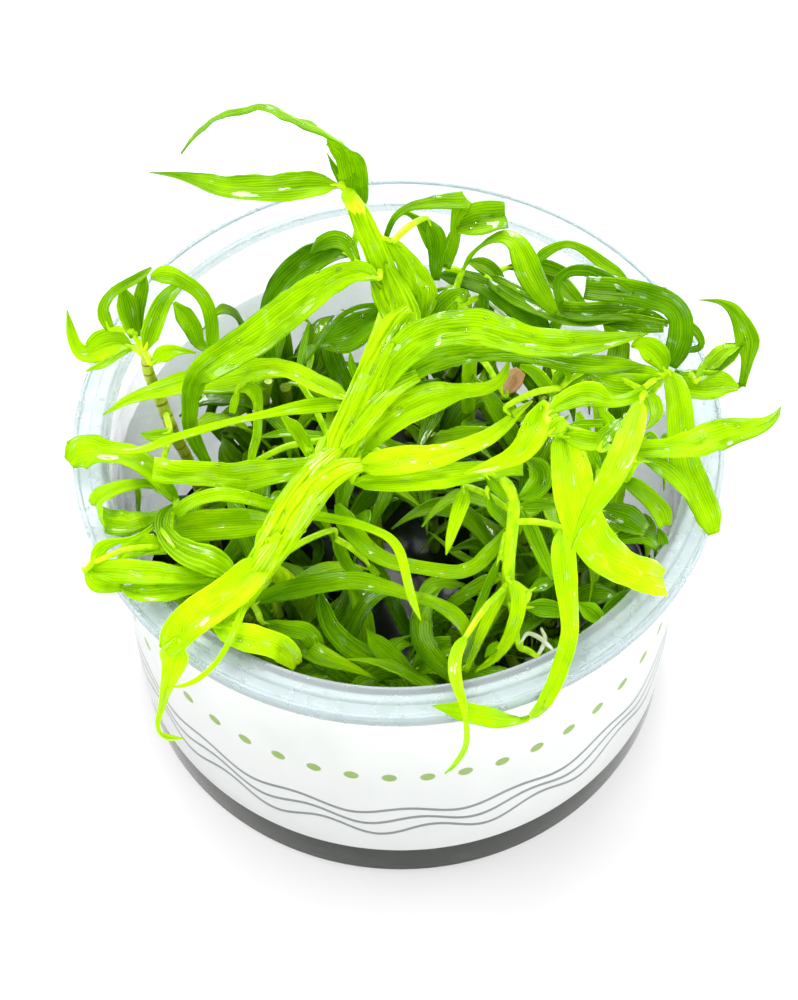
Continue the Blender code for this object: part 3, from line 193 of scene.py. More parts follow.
# Each leaf: one or more blades, each with rows of across, down, height, seen width, turn
LEAVES = {
    "top_arching_leaf": [
        [(363, 214, 90.6, 1.2, 0), (358, 200, 93.2, 3.2, 6), (355, 187, 96.4, 4.2, 10),
         (354, 174, 100.6, 4.4, 14), (350, 160, 105, 4.2, 25), (343, 149, 108.8, 2.6, 55),
         (333, 139, 111, 1.2, 84), (320, 131, 112.1, 1.0, 96), (300, 122, 112.6, 1.4, 115),
         (283, 114.5, 112.6, 1.2, 115), (263, 106.5, 112, 0.8, 108), (240, 110, 109.6, 0.9, 112),
         (220, 115.5, 106.8, 0.9, 116), (203, 127, 103, 0.8, 124), (191, 139, 99.6, 0.4, 118),
         (181, 153, 96, 0.15, 110)],
    ],
    "top_lance_leaf": [
        [(339, 185, 99, 1.2, -14), (328, 185, 99.6, 2.7, -18), (314, 184.5, 100.2, 3.9, -20),
         (296, 186, 100.6, 4.4, -22), (272, 188, 100.6, 4.3, -24), (248, 188, 100.2, 3.9, -24),
         (226, 187, 99.4, 3.3, -24), (206, 182, 98.4, 2.6, -22), (190, 178, 97.4, 1.7, -20),
         (172, 174.5, 96.2, 0.9, -16), (150, 172.5, 95, 0.15, -12)],
    ],
    "folded_neck_leaf": [
        [(383, 238, 92.8, 1.8, 14), (393, 244, 92.2, 2.6, 16), (404, 256, 91, 3.2, 18),
         (413, 270, 90, 3.9, 16), (421, 284, 88.6, 4.3, 8), (424, 298, 86.8, 3.8, -14),
         (421, 311, 84.8, 2.6, -24), (415, 324, 83, 0.4, -20)],
    ],
    "big_diagonal_leaf": [
        [(379, 279, 92, 1.8, -8), (363, 271.5, 91, 3.0, -14), (346, 274, 90, 3.6, -16),
         (331, 281, 89.4, 4.2, -18), (314, 292, 88.6, 5.0, -18), (294, 307, 87.6, 5.5, -18),
         (274, 323, 86.4, 5.7, -16), (254, 338, 85, 5.7, -14), (234, 351, 83.4, 5.4, -10),
         (214, 363, 81.2, 4.9, -4), (200, 374, 78, 4.1, 12), (193, 388, 74, 3.4, 22),
         (190, 405, 69, 2.7, 20), (190, 424, 64, 2.5, 14), (196, 443, 59.5, 2.3, 8),
         (207, 463, 55, 1.6, 0)],
    ],
    "dark_back_leaf": [
        [(350, 255, 86, 2.0, 10), (334, 251, 85, 3.4, 4), (317, 256, 83.6, 4.4, -8),
         (301, 266, 82, 4.6, -14), (287, 279, 80, 4.4, -18), (276, 294, 77.6, 3.8, -18),
         (269, 312, 74.6, 3.2, -14), (266, 332, 71.4, 2.6, -8), (269, 351, 68.6, 2.0, 0),
         (275, 364, 66.4, 1.0, 4)],
    ],
    "long_left_leaf": [
        [(348, 399, 78.5, 2.2, -18), (334, 391, 78.8, 2.7, -22), (317, 383, 79, 2.8, -24),
         (300, 374, 79, 2.7, -24), (282, 368, 78.6, 2.6, -22), (263, 367.5, 77.6, 3.0, -20),
         (243, 372, 75.8, 3.4, -18), (223, 376, 74, 3.6, -18), (204, 379, 72.4, 3.6, -18),
         (185, 382, 71, 3.5, -20), (165, 387.5, 70, 2.9, -22), (145, 394, 69.2, 2.2, -24),
         (125, 402, 68.6, 1.5, -26), (103, 415, 67.8, 0.15, -28)],
    ],
    "thin_left_leaf": [
        [(346, 406, 77, 2.0, 10), (328, 404.5, 76.8, 2.4, 14), (309, 406, 76.4, 2.4, 16),
         (290, 409, 76, 1.9, 10), (269, 413.5, 75.4, 1.4, 0), (248, 418, 74.8, 1.2, -8),
         (228, 422.5, 74.2, 1.2, -14), (208, 428, 73.6, 1.3, -18), (189, 433.5, 73, 1.3, -20),
         (170, 439.5, 72.4, 1.3, -22), (150, 447, 71.8, 1.3, -24), (130, 451.5, 71.2, 1.0, -26),
         (112, 451, 70.7, 0.6, -24), (96, 446, 70.2, 0.15, -20)],
    ],
    "folded_tip_leaf": [
        [(178, 503, 62.6, 1.8, -10), (167, 489, 65.8, 2.4, -14), (153, 472, 68, 3.2, -20),
         (138, 460.5, 68.8, 3.5, -26), (121, 453, 69, 3.5, -30), (104, 452, 69, 3.6, -32),
         (90, 451, 68.8, 5.0, -30), (79, 454, 68.2, 5.0, -24), (69, 463, 67.2, 2.2, -14)],
    ],
    "ring_leaf": [
        [(158, 487, 61.4, 1.2, 10), (145, 483.5, 65.4, 1.5, -10), (128, 485, 69, 1.7, -30),
         (112, 489, 70.2, 2.0, -42), (101, 495, 70.8, 2.2, -52), (95, 504, 70.2, 1.9, -66),
         (98, 513, 68.8, 2.2, -100), (108, 520, 67, 3.8, -140), (123, 522, 66.9, 4.0, -148),
         (138, 520, 66.3, 3.2, -150), (152, 517, 63.2, 2.2, -152), (163, 513, 59.4, 1.2, -152)],
    ],
    "left_band_leaf": [
        [(153, 469, 71.8, 3.8, 18), (172, 472, 71.2, 3.8, 20), (196, 474, 70.6, 3.8, 20),
         (222, 475.5, 70, 4.0, 20), (248, 475.5, 69, 4.4, 18), (273, 472, 69.2, 4.2, 16),
         (296, 469, 69.4, 3.6, 12), (314, 464, 69.8, 2.4, 8), (327, 459, 70, 1.0, 4)],
    ],
    "long_grass_leaf": [
        [(170, 530, 60.5, 1.5, 20), (174, 517, 65, 1.9, 24), (185, 506, 68.6, 2.1, 24),
         (200, 498.5, 70.8, 2.2, 20), (218, 494.5, 71.8, 2.2, 16), (238, 496, 71.4, 2.1, 12),
         (258, 501, 70.4, 2.0, 8), (280, 507, 69.2, 1.8, 6), (303, 513, 68.4, 1.7, 4),
         (327, 517.5, 68.6, 1.5, 2), (351, 522, 69.4, 1.4, 0), (372, 529, 70.2, 1.3, -4),
         (389, 537.5, 70.4, 1.4, -8), (399, 550, 70, 1.5, -12), (404, 566, 69.2, 1.5, -10),
         (408, 583, 68.4, 1.4, -6), (413, 601, 67.4, 1.3, 0), (421, 621, 66, 0.15, 4)],
    ],
    "left_turning_leaf": [
        [(172, 505, 66.6, 1.2, 6), (164, 515, 67.6, 2.0, 14), (163, 529, 68.2, 2.4, 20),
         (173, 544, 68.8, 3.2, 18), (190, 554, 69.2, 4.2, 16), (208, 560, 69.2, 4.6, 14),
         (223, 568, 68.6, 4.0, 10), (234, 579, 67.4, 1.4, 6)],
    ],
    "low_left_leaf": [
        [(84, 569, 67.6, 1.8, 26), (96, 570, 68.2, 2.6, 28), (112, 571, 69, 3.4, 30),
         (132, 572.5, 69.6, 3.8, 28), (154, 573.5, 69, 3.6, 26), (176, 575.5, 67.6, 3.0, 22),
         (198, 577, 66, 2.4, 16), (219, 579, 64, 1.6, 10), (238, 582, 62.6, 0.8, 4)],
        [(87, 571, 67.8, 2.4, -30), (95, 581, 66.6, 3.2, -20), (108, 585, 66.2, 2.6, -8),
         (123, 587.5, 66.8, 1.4, 0)],
        [(120, 587, 66.8, 1.4, 10), (137, 592, 68.2, 2.6, 22), (156, 593, 68, 3.0, 26),
         (175, 590, 66.6, 2.8, 22), (194, 586, 65, 2.2, 14), (213, 583, 62, 1.2, 6)],
    ],
    "small_loop_leaf": [
        [(93, 562, 69.4, 2.4, -20), (97, 552, 70.2, 2.3, -24), (106, 544.5, 70.4, 1.8, -30),
         (119, 541, 69.8, 1.0, -34), (133, 538, 68.8, 0.8, -20), (146, 532, 67.8, 0.9, -4),
         (154, 526, 67, 0.8, 6)],
    ],
    "middle_long_leaf": [
        [(264, 560, 69.6, 3.6, 4), (251, 573, 70.6, 5.0, 4), (234, 589, 71, 5.4, 6),
         (216, 602, 71, 5.4, 8), (199, 613, 70.8, 5.4, 10), (184, 626, 70.2, 5.2, 8),
         (173, 640, 69, 4.6, 0), (165, 652, 67.4, 2.6, -8)],
        [(177, 638, 69.4, 2.4, -10), (175, 654, 67, 4.6, -14), (172, 671, 64.4, 3.2, -10),
         (166, 689, 60.6, 1.9, 0), (162, 706, 56.6, 1.2, 10), (157.5, 722, 53, 0.8, 20),
         (160, 733, 51, 0.7, 24), (170, 738, 50.4, 1.0, 20), (183.5, 738.5, 50.6, 0.2, 10)],
    ],
    "thin_front_strand": [
        [(247, 600, 67.4, 1.2, 0), (241, 614, 68.6, 1.2, 6), (234, 631, 69.8, 1.1, 10),
         (226, 648, 69.2, 0.9, 12), (213, 666, 67.8, 0.8, 14), (198, 679, 66.3, 0.8, 16),
         (183, 685.5, 65, 0.6, 16), (167, 687, 64, 0.2, 14)],
    ],
    "broad_right_leaf": [
        [(352, 424, 77.4, 2.8, 4), (366, 399, 81, 4.2, 8), (383, 374, 84.6, 4.7, 12),
         (402, 353, 87.4, 5.2, 16), (424, 337, 89.4, 5.6, 18), (450, 329, 90.2, 5.6, 20),
         (478, 328, 90, 5.6, 20), (506, 335, 89.2, 5.2, 20), (535, 342, 88, 4.6, 20),
         (565, 344.5, 86.8, 4.2, 22), (595, 341.5, 86, 3.3, 22), (622, 338, 85.4, 1.9, 22),
         (649, 333.5, 84.8, 0.15, 20)],
    ],
    "second_right_leaf": [
        [(362, 418, 76.6, 2.0, 10), (383, 393, 80, 3.2, 14), (408, 373, 83, 3.8, 18),
         (436, 359, 84.8, 4.0, 20), (470, 352, 85.4, 3.6, 22), (506, 352, 85.2, 3.2, 24),
         (543, 357, 84.2, 3.0, 24), (580, 363, 83.2, 3.2, 22), (614, 364, 82.6, 2.6, 20),
         (645, 366, 82, 0.3, 16)],
    ],
    "wavy_leaf": [
        [(360, 452, 74.6, 2.4, 0), (375, 434, 77, 3.8, 6), (392, 419, 79, 4.6, 12),
         (412, 406, 80.4, 5.0, 18), (436, 397, 81, 4.6, 22), (460, 391.5, 81.4, 2.6, 26),
         (482, 389, 81.6, 2.1, 22), (497, 382.5, 81.8, 1.8, 6), (505, 372, 82, 1.3, -8),
         (509, 360, 82, 0.4, -12)],
    ],
    "middle_right_leaf": [
        [(358, 466, 74.6, 2.6, 4), (380, 463, 76.4, 4.0, 8), (407, 459.5, 77.6, 4.4, 12),
         (435, 456, 78.2, 3.6, 14), (461, 449, 78.4, 2.9, 14), (486, 438.5, 78.4, 2.6, 12),
         (505, 425, 78.2, 2.0, 8), (518, 412, 78, 1.3, 4), (532, 401, 78, 0.4, 0)],
    ],
    "lower_right_leaf": [
        [(352, 482, 71.6, 1.8, 8), (376, 481.5, 73, 3.0, 12), (402, 480, 74, 3.6, 16),
         (430, 477.5, 74.6, 4.0, 18), (457, 474, 74.8, 3.8, 20), (482, 471, 73.8, 3.0, 20),
         (504, 469.5, 72.2, 2.4, 18), (523, 470, 71.4, 1.8, 14)],
    ],
    "leaning_right_leaf": [
        [(543, 402, 84, 2.4, -6), (539, 418, 83.6, 4.0, -8), (532, 436, 82.8, 4.4, -10),
         (521, 451, 81.4, 3.6, -14), (505, 460.5, 80, 2.5, -18), (485, 467.5, 79, 1.7, -18),
         (463, 474, 78.4, 0.4, -14)],
    ],
    "wide_front_leaf": [
        [(563, 430, 84.4, 3.0, 0), (567, 450, 84.6, 5.0, 2), (571, 470, 84.2, 6.0, 4),
         (574, 492, 83.2, 6.3, 8), (579, 512, 81.8, 6.3, 10), (587, 530, 80, 6.3, 14),
         (599, 548, 78, 6.3, 16), (615, 562, 76, 5.9, 18), (635, 572, 74, 5.4, 20),
         (652, 578.5, 72.4, 5.2, 22), (666, 583, 71, 4.4, 22)],
    ],
    "pale_crossing_leaf": [
        [(641, 400, 84.4, 1.8, -6), (636, 418, 86.8, 3.2, -8), (629, 437, 88.4, 4.1, -8),
         (622, 455, 89, 4.1, -6), (613, 474, 89, 4.0, -4), (602, 492, 88.4, 3.5, 0),
         (591, 510, 87.4, 2.5, 4), (580, 529, 86.2, 1.4, 8), (571, 549, 85, 0.15, 10)],
    ],
    "hooked_leaf": [
        [(546, 416, 86.4, 1.2, 10), (559, 404.5, 87, 2.5, 14), (575, 397, 87.4, 3.5, 16),
         (592, 394.5, 87.4, 3.7, 18), (607, 400, 86.8, 2.4, 16), (622, 400.5, 85, 1.9, 10),
         (635, 396, 82.4, 1.9, 6), (645, 389, 80.4, 1.2, 0)],
    ],
    "right_hanging_leaf": [
        [(668, 370, 79.6, 1.8, -4), (675, 385, 79.6, 3.4, -6), (679, 403, 78.8, 4.1, -8),
         (681, 424, 77.4, 4.3, -8), (682, 447, 75.4, 4.4, -4), (687, 469, 73, 5.0, 2),
         (696, 488, 70.8, 4.8, 8), (704, 505, 69, 4.4, 12), (710, 520, 67.4, 3.8, 14),
         (714, 534, 65.8, 1.8, 14)],
    ],
    "right_tip_leaf": [
        [(606, 450, 80.8, 1.4, 18), (628, 449.5, 82, 2.4, 22), (652, 449, 82.4, 2.8, 24),
         (676, 447.5, 82.2, 3.4, 24), (698, 443, 81.6, 4.2, 22), (716, 435.5, 80.8, 4.8, 18),
         (733, 431, 80, 4.2, 14), (750, 428.5, 79.2, 3.2, 12), (765, 423.5, 78.2, 2.2, 8),
         (775, 416, 77.4, 1.3, 4), (781, 406.5, 76.6, 0.15, 0)],
    ],
    "dark_band_leaf": [
        [(585, 288, 88.4, 3.6, 20), (605, 289.5, 88.8, 3.8, 22), (628, 291.5, 88.8, 3.8, 22),
         (650, 297, 88, 3.8, 18), (669, 304, 86.6, 3.8, 12), (680, 317, 84.8, 3.8, 0),
         (681, 334, 82.8, 3.9, -8), (677, 351, 80.8, 3.6, -10), (671, 367, 79, 1.8, -8)],
        [(561, 304, 83.6, 1.2, -20), (557, 291, 85.2, 1.3, -34), (559, 279, 86.6, 1.4, -40),
         (570, 271, 87.8, 1.7, -34), (586, 270, 88.4, 2.0, -24), (603, 276, 89, 2.0, -12),
         (620, 286, 89.1, 1.4, 0), (632, 293, 88.6, 1.0, 0)],
    ],
    "back_band_leaf": [
        [(540, 302, 79.4, 1.6, 14), (558, 309.5, 80.6, 2.3, 18), (580, 313.5, 81.6, 2.6, 22),
         (603, 313, 82, 2.6, 24), (628, 313, 82, 2.6, 22), (650, 317, 81.2, 2.2, 18),
         (668, 324, 79.6, 1.0, 12)],
        [(668, 323, 79.6, 0.8, 10), (682, 321, 79.8, 0.9, 10), (693, 328, 79.8, 1.4, 14),
         (700, 337, 79.6, 1.3, 6), (701.5, 345, 78.8, 1.0, -20), (696, 349, 77.6, 1.0, -34),
         (686, 350, 76.4, 0.8, -30)],
    ],
    "thin_arch_leaf": [
        [(534, 262, 82.4, 1.8, 16), (545, 253, 85.4, 1.8, 10), (557, 246.5, 87.2, 1.4, 4),
         (568, 244, 88, 1.2, 0), (580, 247.5, 87.6, 1.4, -4), (592, 255, 86.6, 1.8, -4),
         (604, 264, 84.8, 2.0, 0), (617, 271.5, 82.6, 1.4, 6), (628, 280, 80.4, 0.3, 8)],
    ],
    "tall_arch_leaf": [
        [(463, 270, 80.6, 0.8, 20), (470, 257, 84.6, 0.8, 30), (480, 247, 88, 0.7, 40),
         (492, 239.5, 90.6, 1.2, 44), (505, 237, 92, 2.1, 38), (516, 244, 92, 3.2, 20),
         (523, 257, 90.8, 4.1, 8), (529, 272, 89, 4.3, 2), (537, 287, 86.8, 3.8, -2),
         (546, 301, 84.6, 2.8, -4), (556, 314, 82.6, 1.2, -4)],
    ],
    "back_arch_leaf": [
        [(386, 237, 86.6, 0.9, 10), (391, 224, 90, 1.0, 18), (398, 214.5, 92.8, 1.2, 24),
         (410, 207, 94.6, 1.4, 26), (425, 203.5, 95.6, 1.9, 24), (440, 201.5, 96, 2.4, 22),
         (454, 201, 95.8, 2.8, 20), (465, 200.5, 95, 2.8, 30)],
        [(467, 199, 94.6, 2.2, 10), (459, 210, 94.2, 2.2, 10), (455, 224, 92.4, 1.5, 10),
         (454, 239, 90, 1.5, 8), (450, 254, 87.2, 1.9, 4), (446, 268, 84.4, 1.4, 0)],
        [(456, 226, 92, 2.4, 20), (468, 222, 92.6, 4.6, 18), (481, 219, 93, 5.2, 18),
         (494, 216.5, 93, 4.6, 18), (506, 215, 92.8, 4.0, 16)],
    ],
    "back_tapering_leaf": [
        [(426, 218, 91.4, 1.2, 14), (431, 227, 90.2, 2.6, 8), (436, 239, 88.2, 3.3, 2),
         (437, 252, 85.8, 2.8, -2), (436, 266, 83.2, 2.2, -4), (436, 280, 80.4, 1.2, -4)],
    ],
    "back_dark_leaf": [
        [(440, 275, 77.8, 2.2, 16), (456, 277, 78.6, 3.0, 18), (473, 281.5, 79, 3.2, 20),
         (490, 288, 79, 3.4, 20), (506, 298, 78.4, 3.9, 18), (521, 309, 77.6, 4.2, 14),
         (535, 320, 76.4, 3.6, 10), (548, 332, 75, 1.8, 6)],
    ],
    "right_curl_leaf": [
        [(699, 300, 80.4, 0.4, 10), (711, 300.5, 80.8, 0.6, 16), (723, 303, 80.8, 1.1, 20),
         (733, 309.5, 80.4, 2.2, 18), (740, 320, 79.6, 2.8, 10), (745, 332, 78.4, 3.6, 0),
         (748, 344, 77, 3.8, -8), (748, 357, 75.2, 2.2, -16), (745.5, 371, 73.4, 1.6, -20),
         (742, 386, 71.4, 1.2, -20)],
        [(744, 384, 71.2, 1.0, -50), (732, 386.5, 71.8, 1.7, -42), (717, 386.5, 72.8, 1.8, -32),
         (702, 385.5, 73.8, 2.2, -24), (687, 381, 75, 2.8, -16), (673, 374, 76.4, 1.6, -8)],
        [(745, 345, 76.9, 1.6, -10), (731, 351, 76.2, 3.0, -14), (716, 362, 76.4, 3.5, -14),
         (705, 373, 76.8, 2.8, -10), (696, 382, 77.4, 0.9, -6)],
    ],
    "right_inner_leaf": [
        [(621, 478, 70, 1.0, 6), (632, 484, 71.6, 2.3, 10), (643, 492.5, 72.4, 2.8, 14),
         (654, 503, 72.2, 3.0, 16), (662, 514, 71, 3.2, 14), (665, 526, 69.2, 2.2, 10)],
    ],
    "front_forked_leaf": [
        [(508, 580, 64.8, 1.6, 8), (517, 591, 66, 2.2, 6), (518.5, 606, 66, 2.3, 2),
         (515, 622, 63.6, 2.3, -4), (509, 638, 60.6, 2.1, -8), (499, 653, 57.2, 1.6, -10),
         (487, 664, 54, 1.1, -10), (475, 672, 51.4, 0.4, -8)],
        [(508, 581, 64.7, 1.4, 0), (499, 598, 63, 1.7, 4), (490, 615, 60.8, 1.8, 6),
         (480, 635, 58, 1.8, 4), (471, 654, 54.6, 1.7, 0), (465, 671, 51, 1.2, -4)],
    ],
    "front_hanging_leaf": [
        [(466, 636, 66.4, 1.2, -10), (459, 647, 68.6, 1.8, -8), (455, 660, 69.8, 2.0, -4),
         (455, 674, 70.2, 2.0, 2), (458, 688, 70.8, 1.7, 10), (462, 701, 70.6, 1.4, 26),
         (465, 715, 69.2, 1.0, 46), (466, 730, 66, 0.8, 56), (464.5, 745, 61, 0.8, 52),
         (460, 757, 57.6, 0.8, 44), (453, 766, 54.8, 0.7, 36), (445, 773, 52.6, 0.2, 30)],
    ],
    "over_rim_leaf": [
        [(562, 528, 72.6, 1.6, 0), (563, 548, 74, 3.6, -4), (565, 570, 73.2, 3.8, -6),
         (567, 591, 72, 3.3, -8), (569, 611, 70.8, 2.9, -8), (570, 630, 69.8, 2.7, -6),
         (566, 650, 69, 2.7, 0), (560, 668, 67.8, 2.6, 10), (553, 686, 65.8, 2.4, 20),
         (544, 702, 63.6, 1.9, 40), (535, 713, 62, 1.1, 64), (525, 718, 61.6, 0.9, 100),
         (511, 719, 63.6, 1.9, 150), (495, 718, 65.4, 3.1, 168), (478, 715, 66.6, 3.1, 172),
         (461, 711.5, 67.3, 2.8, 170), (446, 708, 67.7, 1.6, 165), (432, 705.5, 68, 0.15, 160)],
    ],
    "middle_low_leaf": [
        [(337, 504, 67.6, 2.6, -8), (345, 520, 66.6, 3.2, -2), (357, 537, 65.8, 2.9, 4),
         (372, 552, 65, 2.6, 10), (391, 561.5, 65, 2.4, 16), (412, 566, 64.2, 2.3, 20),
         (435, 570, 63.6, 2.2, 22), (457, 572, 63.4, 2.3, 22), (475, 566, 64, 2.4, 16),
         (488, 554, 65.2, 2.4, 8), (499, 542, 66.6, 2.0, 2), (506, 530, 68.2, 1.0, 0)],
    ],
    "middle_band_leaf": [
        [(253, 606, 55, 0.6, 10), (267, 597, 56.6, 2.2, 14), (286, 591, 58.4, 3.0, 18),
         (306, 587, 60.2, 3.2, 20), (326, 583, 61.6, 3.0, 22), (348, 580.5, 62.4, 2.9, 22),
         (370, 583, 62.6, 2.8, 20), (392, 589, 62.4, 2.2, 18), (412, 596, 62, 1.8, 18),
         (432, 602, 61.6, 2.0, 16), (450, 611, 60.8, 2.4, 10), (462, 623, 59.2, 2.3, 0),
         (467, 637, 57, 1.2, -8)],
    ],
    "front_wide_low_leaf": [
        [(214, 625, 67.4, 2.2, 22), (226, 631, 67.6, 3.4, 24), (241, 637, 67.4, 4.1, 26),
         (258, 641, 66.6, 4.3, 26), (275, 646, 64.8, 4.2, 18), (288, 654, 61.6, 3.8, 6),
         (297, 665, 57.6, 2.0, 0)],
    ],
    "striped_front_leaf": [
        [(320, 592, 56, 1.6, 0), (324, 610, 55.6, 2.4, 6), (332, 628, 54.6, 2.9, 12),
         (346, 644, 53, 3.4, 14), (363, 656, 51, 3.4, 14), (382, 667, 48.6, 3.2, 12),
         (397, 679, 45.6, 3.0, 8), (408, 693, 42, 1.6, 4)],
        [(305, 650, 52.6, 1.4, 8), (319, 657, 52, 3.2, 12), (336, 666, 50.4, 3.5, 14),
         (352, 677, 47.8, 3.4, 10), (372, 689, 44.4, 2.4, 6), (402, 691, 43, 1.2, 4)],
    ],
    "middle_pointed_leaf": [
        [(465, 486, 69.6, 1.8, -4), (463, 498, 69.6, 2.5, -6), (458, 513, 68.8, 2.3, -8),
         (453, 529, 67.6, 1.8, -8), (449, 543, 66.4, 1.2, -6), (446, 555, 65.2, 0.2, -4)],
    ],
    "left_arching_leaf": [
        [(151, 277, 88.6, 2.4, 16), (161, 274.5, 89.4, 3.0, 18), (173, 276.5, 89.4, 2.8, 18),
         (185, 282, 88.8, 2.4, 14), (196, 289.5, 87.6, 2.2, 8), (205, 300.5, 85.6, 2.2, 2),
         (210, 314, 83.2, 2.2, -4), (212, 328, 80.4, 2.2, -6), (213, 343, 77.4, 2.0, -6),
         (215, 358, 74.4, 1.2, -4)],
        [(174, 302, 81, 1.8, 10), (184, 315, 79.8, 3.2, 10), (193, 329, 77.8, 3.0, 6),
         (199, 343, 75.4, 2.0, 2), (213, 352, 75.4, 1.0, -2)],
        [(145, 350, 77.6, 2.2, 0), (150, 335, 80, 3.0, 4), (155.5, 319, 82.2, 3.1, 6),
         (162, 304, 84, 2.8, 8), (171, 292.5, 86.8, 2.2, 10), (182, 284, 88.8, 1.0, 10)],
    ],
    "left_loop_leaf": [
        [(151, 268, 84.2, 1.2, -10), (137, 278.5, 85, 1.5, -16), (123, 286, 84.6, 1.5, -24),
         (111, 295, 83.4, 1.6, -30), (104, 306, 81.6, 1.9, -24), (104.5, 317, 79.6, 2.1, -10),
         (110, 329, 77.6, 1.6, 0)],
        [(144, 271, 84.7, 1.2, 0), (143, 284, 83.6, 2.0, 4), (140, 299, 81.6, 2.2, 4),
         (138, 313, 79.6, 2.0, 2), (138, 330, 77, 1.4, 0)],
        [(122, 287, 84.4, 2.2, 6), (127, 305, 81.6, 3.6, 6), (131, 322, 79, 3.0, 4),
         (135, 337, 76.8, 1.8, 2)],
    ],
    "left_pale_leaf": [
        [(134, 348, 73.8, 1.2, -10), (121, 343, 74.2, 3.6, -18), (107, 344, 74, 4.8, -24),
         (94, 350, 73, 4.2, -22), (83, 353, 72.4, 2.8, -16), (75.5, 345, 73, 2.0, -8),
         (71, 331, 74.6, 1.6, 0), (67, 310, 77, 0.15, 4)],
    ],
    "curled_bud_leaf": [
        [(391, 305, 82, 1.4, -20), (376, 317, 80.8, 3.4, -22), (360, 328, 79.6, 5.0, -20),
         (345, 336, 78.2, 5.4, -14), (330, 340, 76.4, 3.8, -4), (318, 344, 74.8, 1.0, 4)],
        [(404, 301.5, 82.6, 0.9, 0), (390, 303.5, 82.2, 0.9, 0), (375, 305, 82.6, 0.8, 0),
         (357, 307.5, 82.4, 0.8, 0), (340, 317, 81.6, 0.8, 0), (325, 335, 79.6, 0.8, 0),
         (313, 351, 78, 0.7, 0), (302, 367, 76.4, 0.2, 0)],
    ],
}

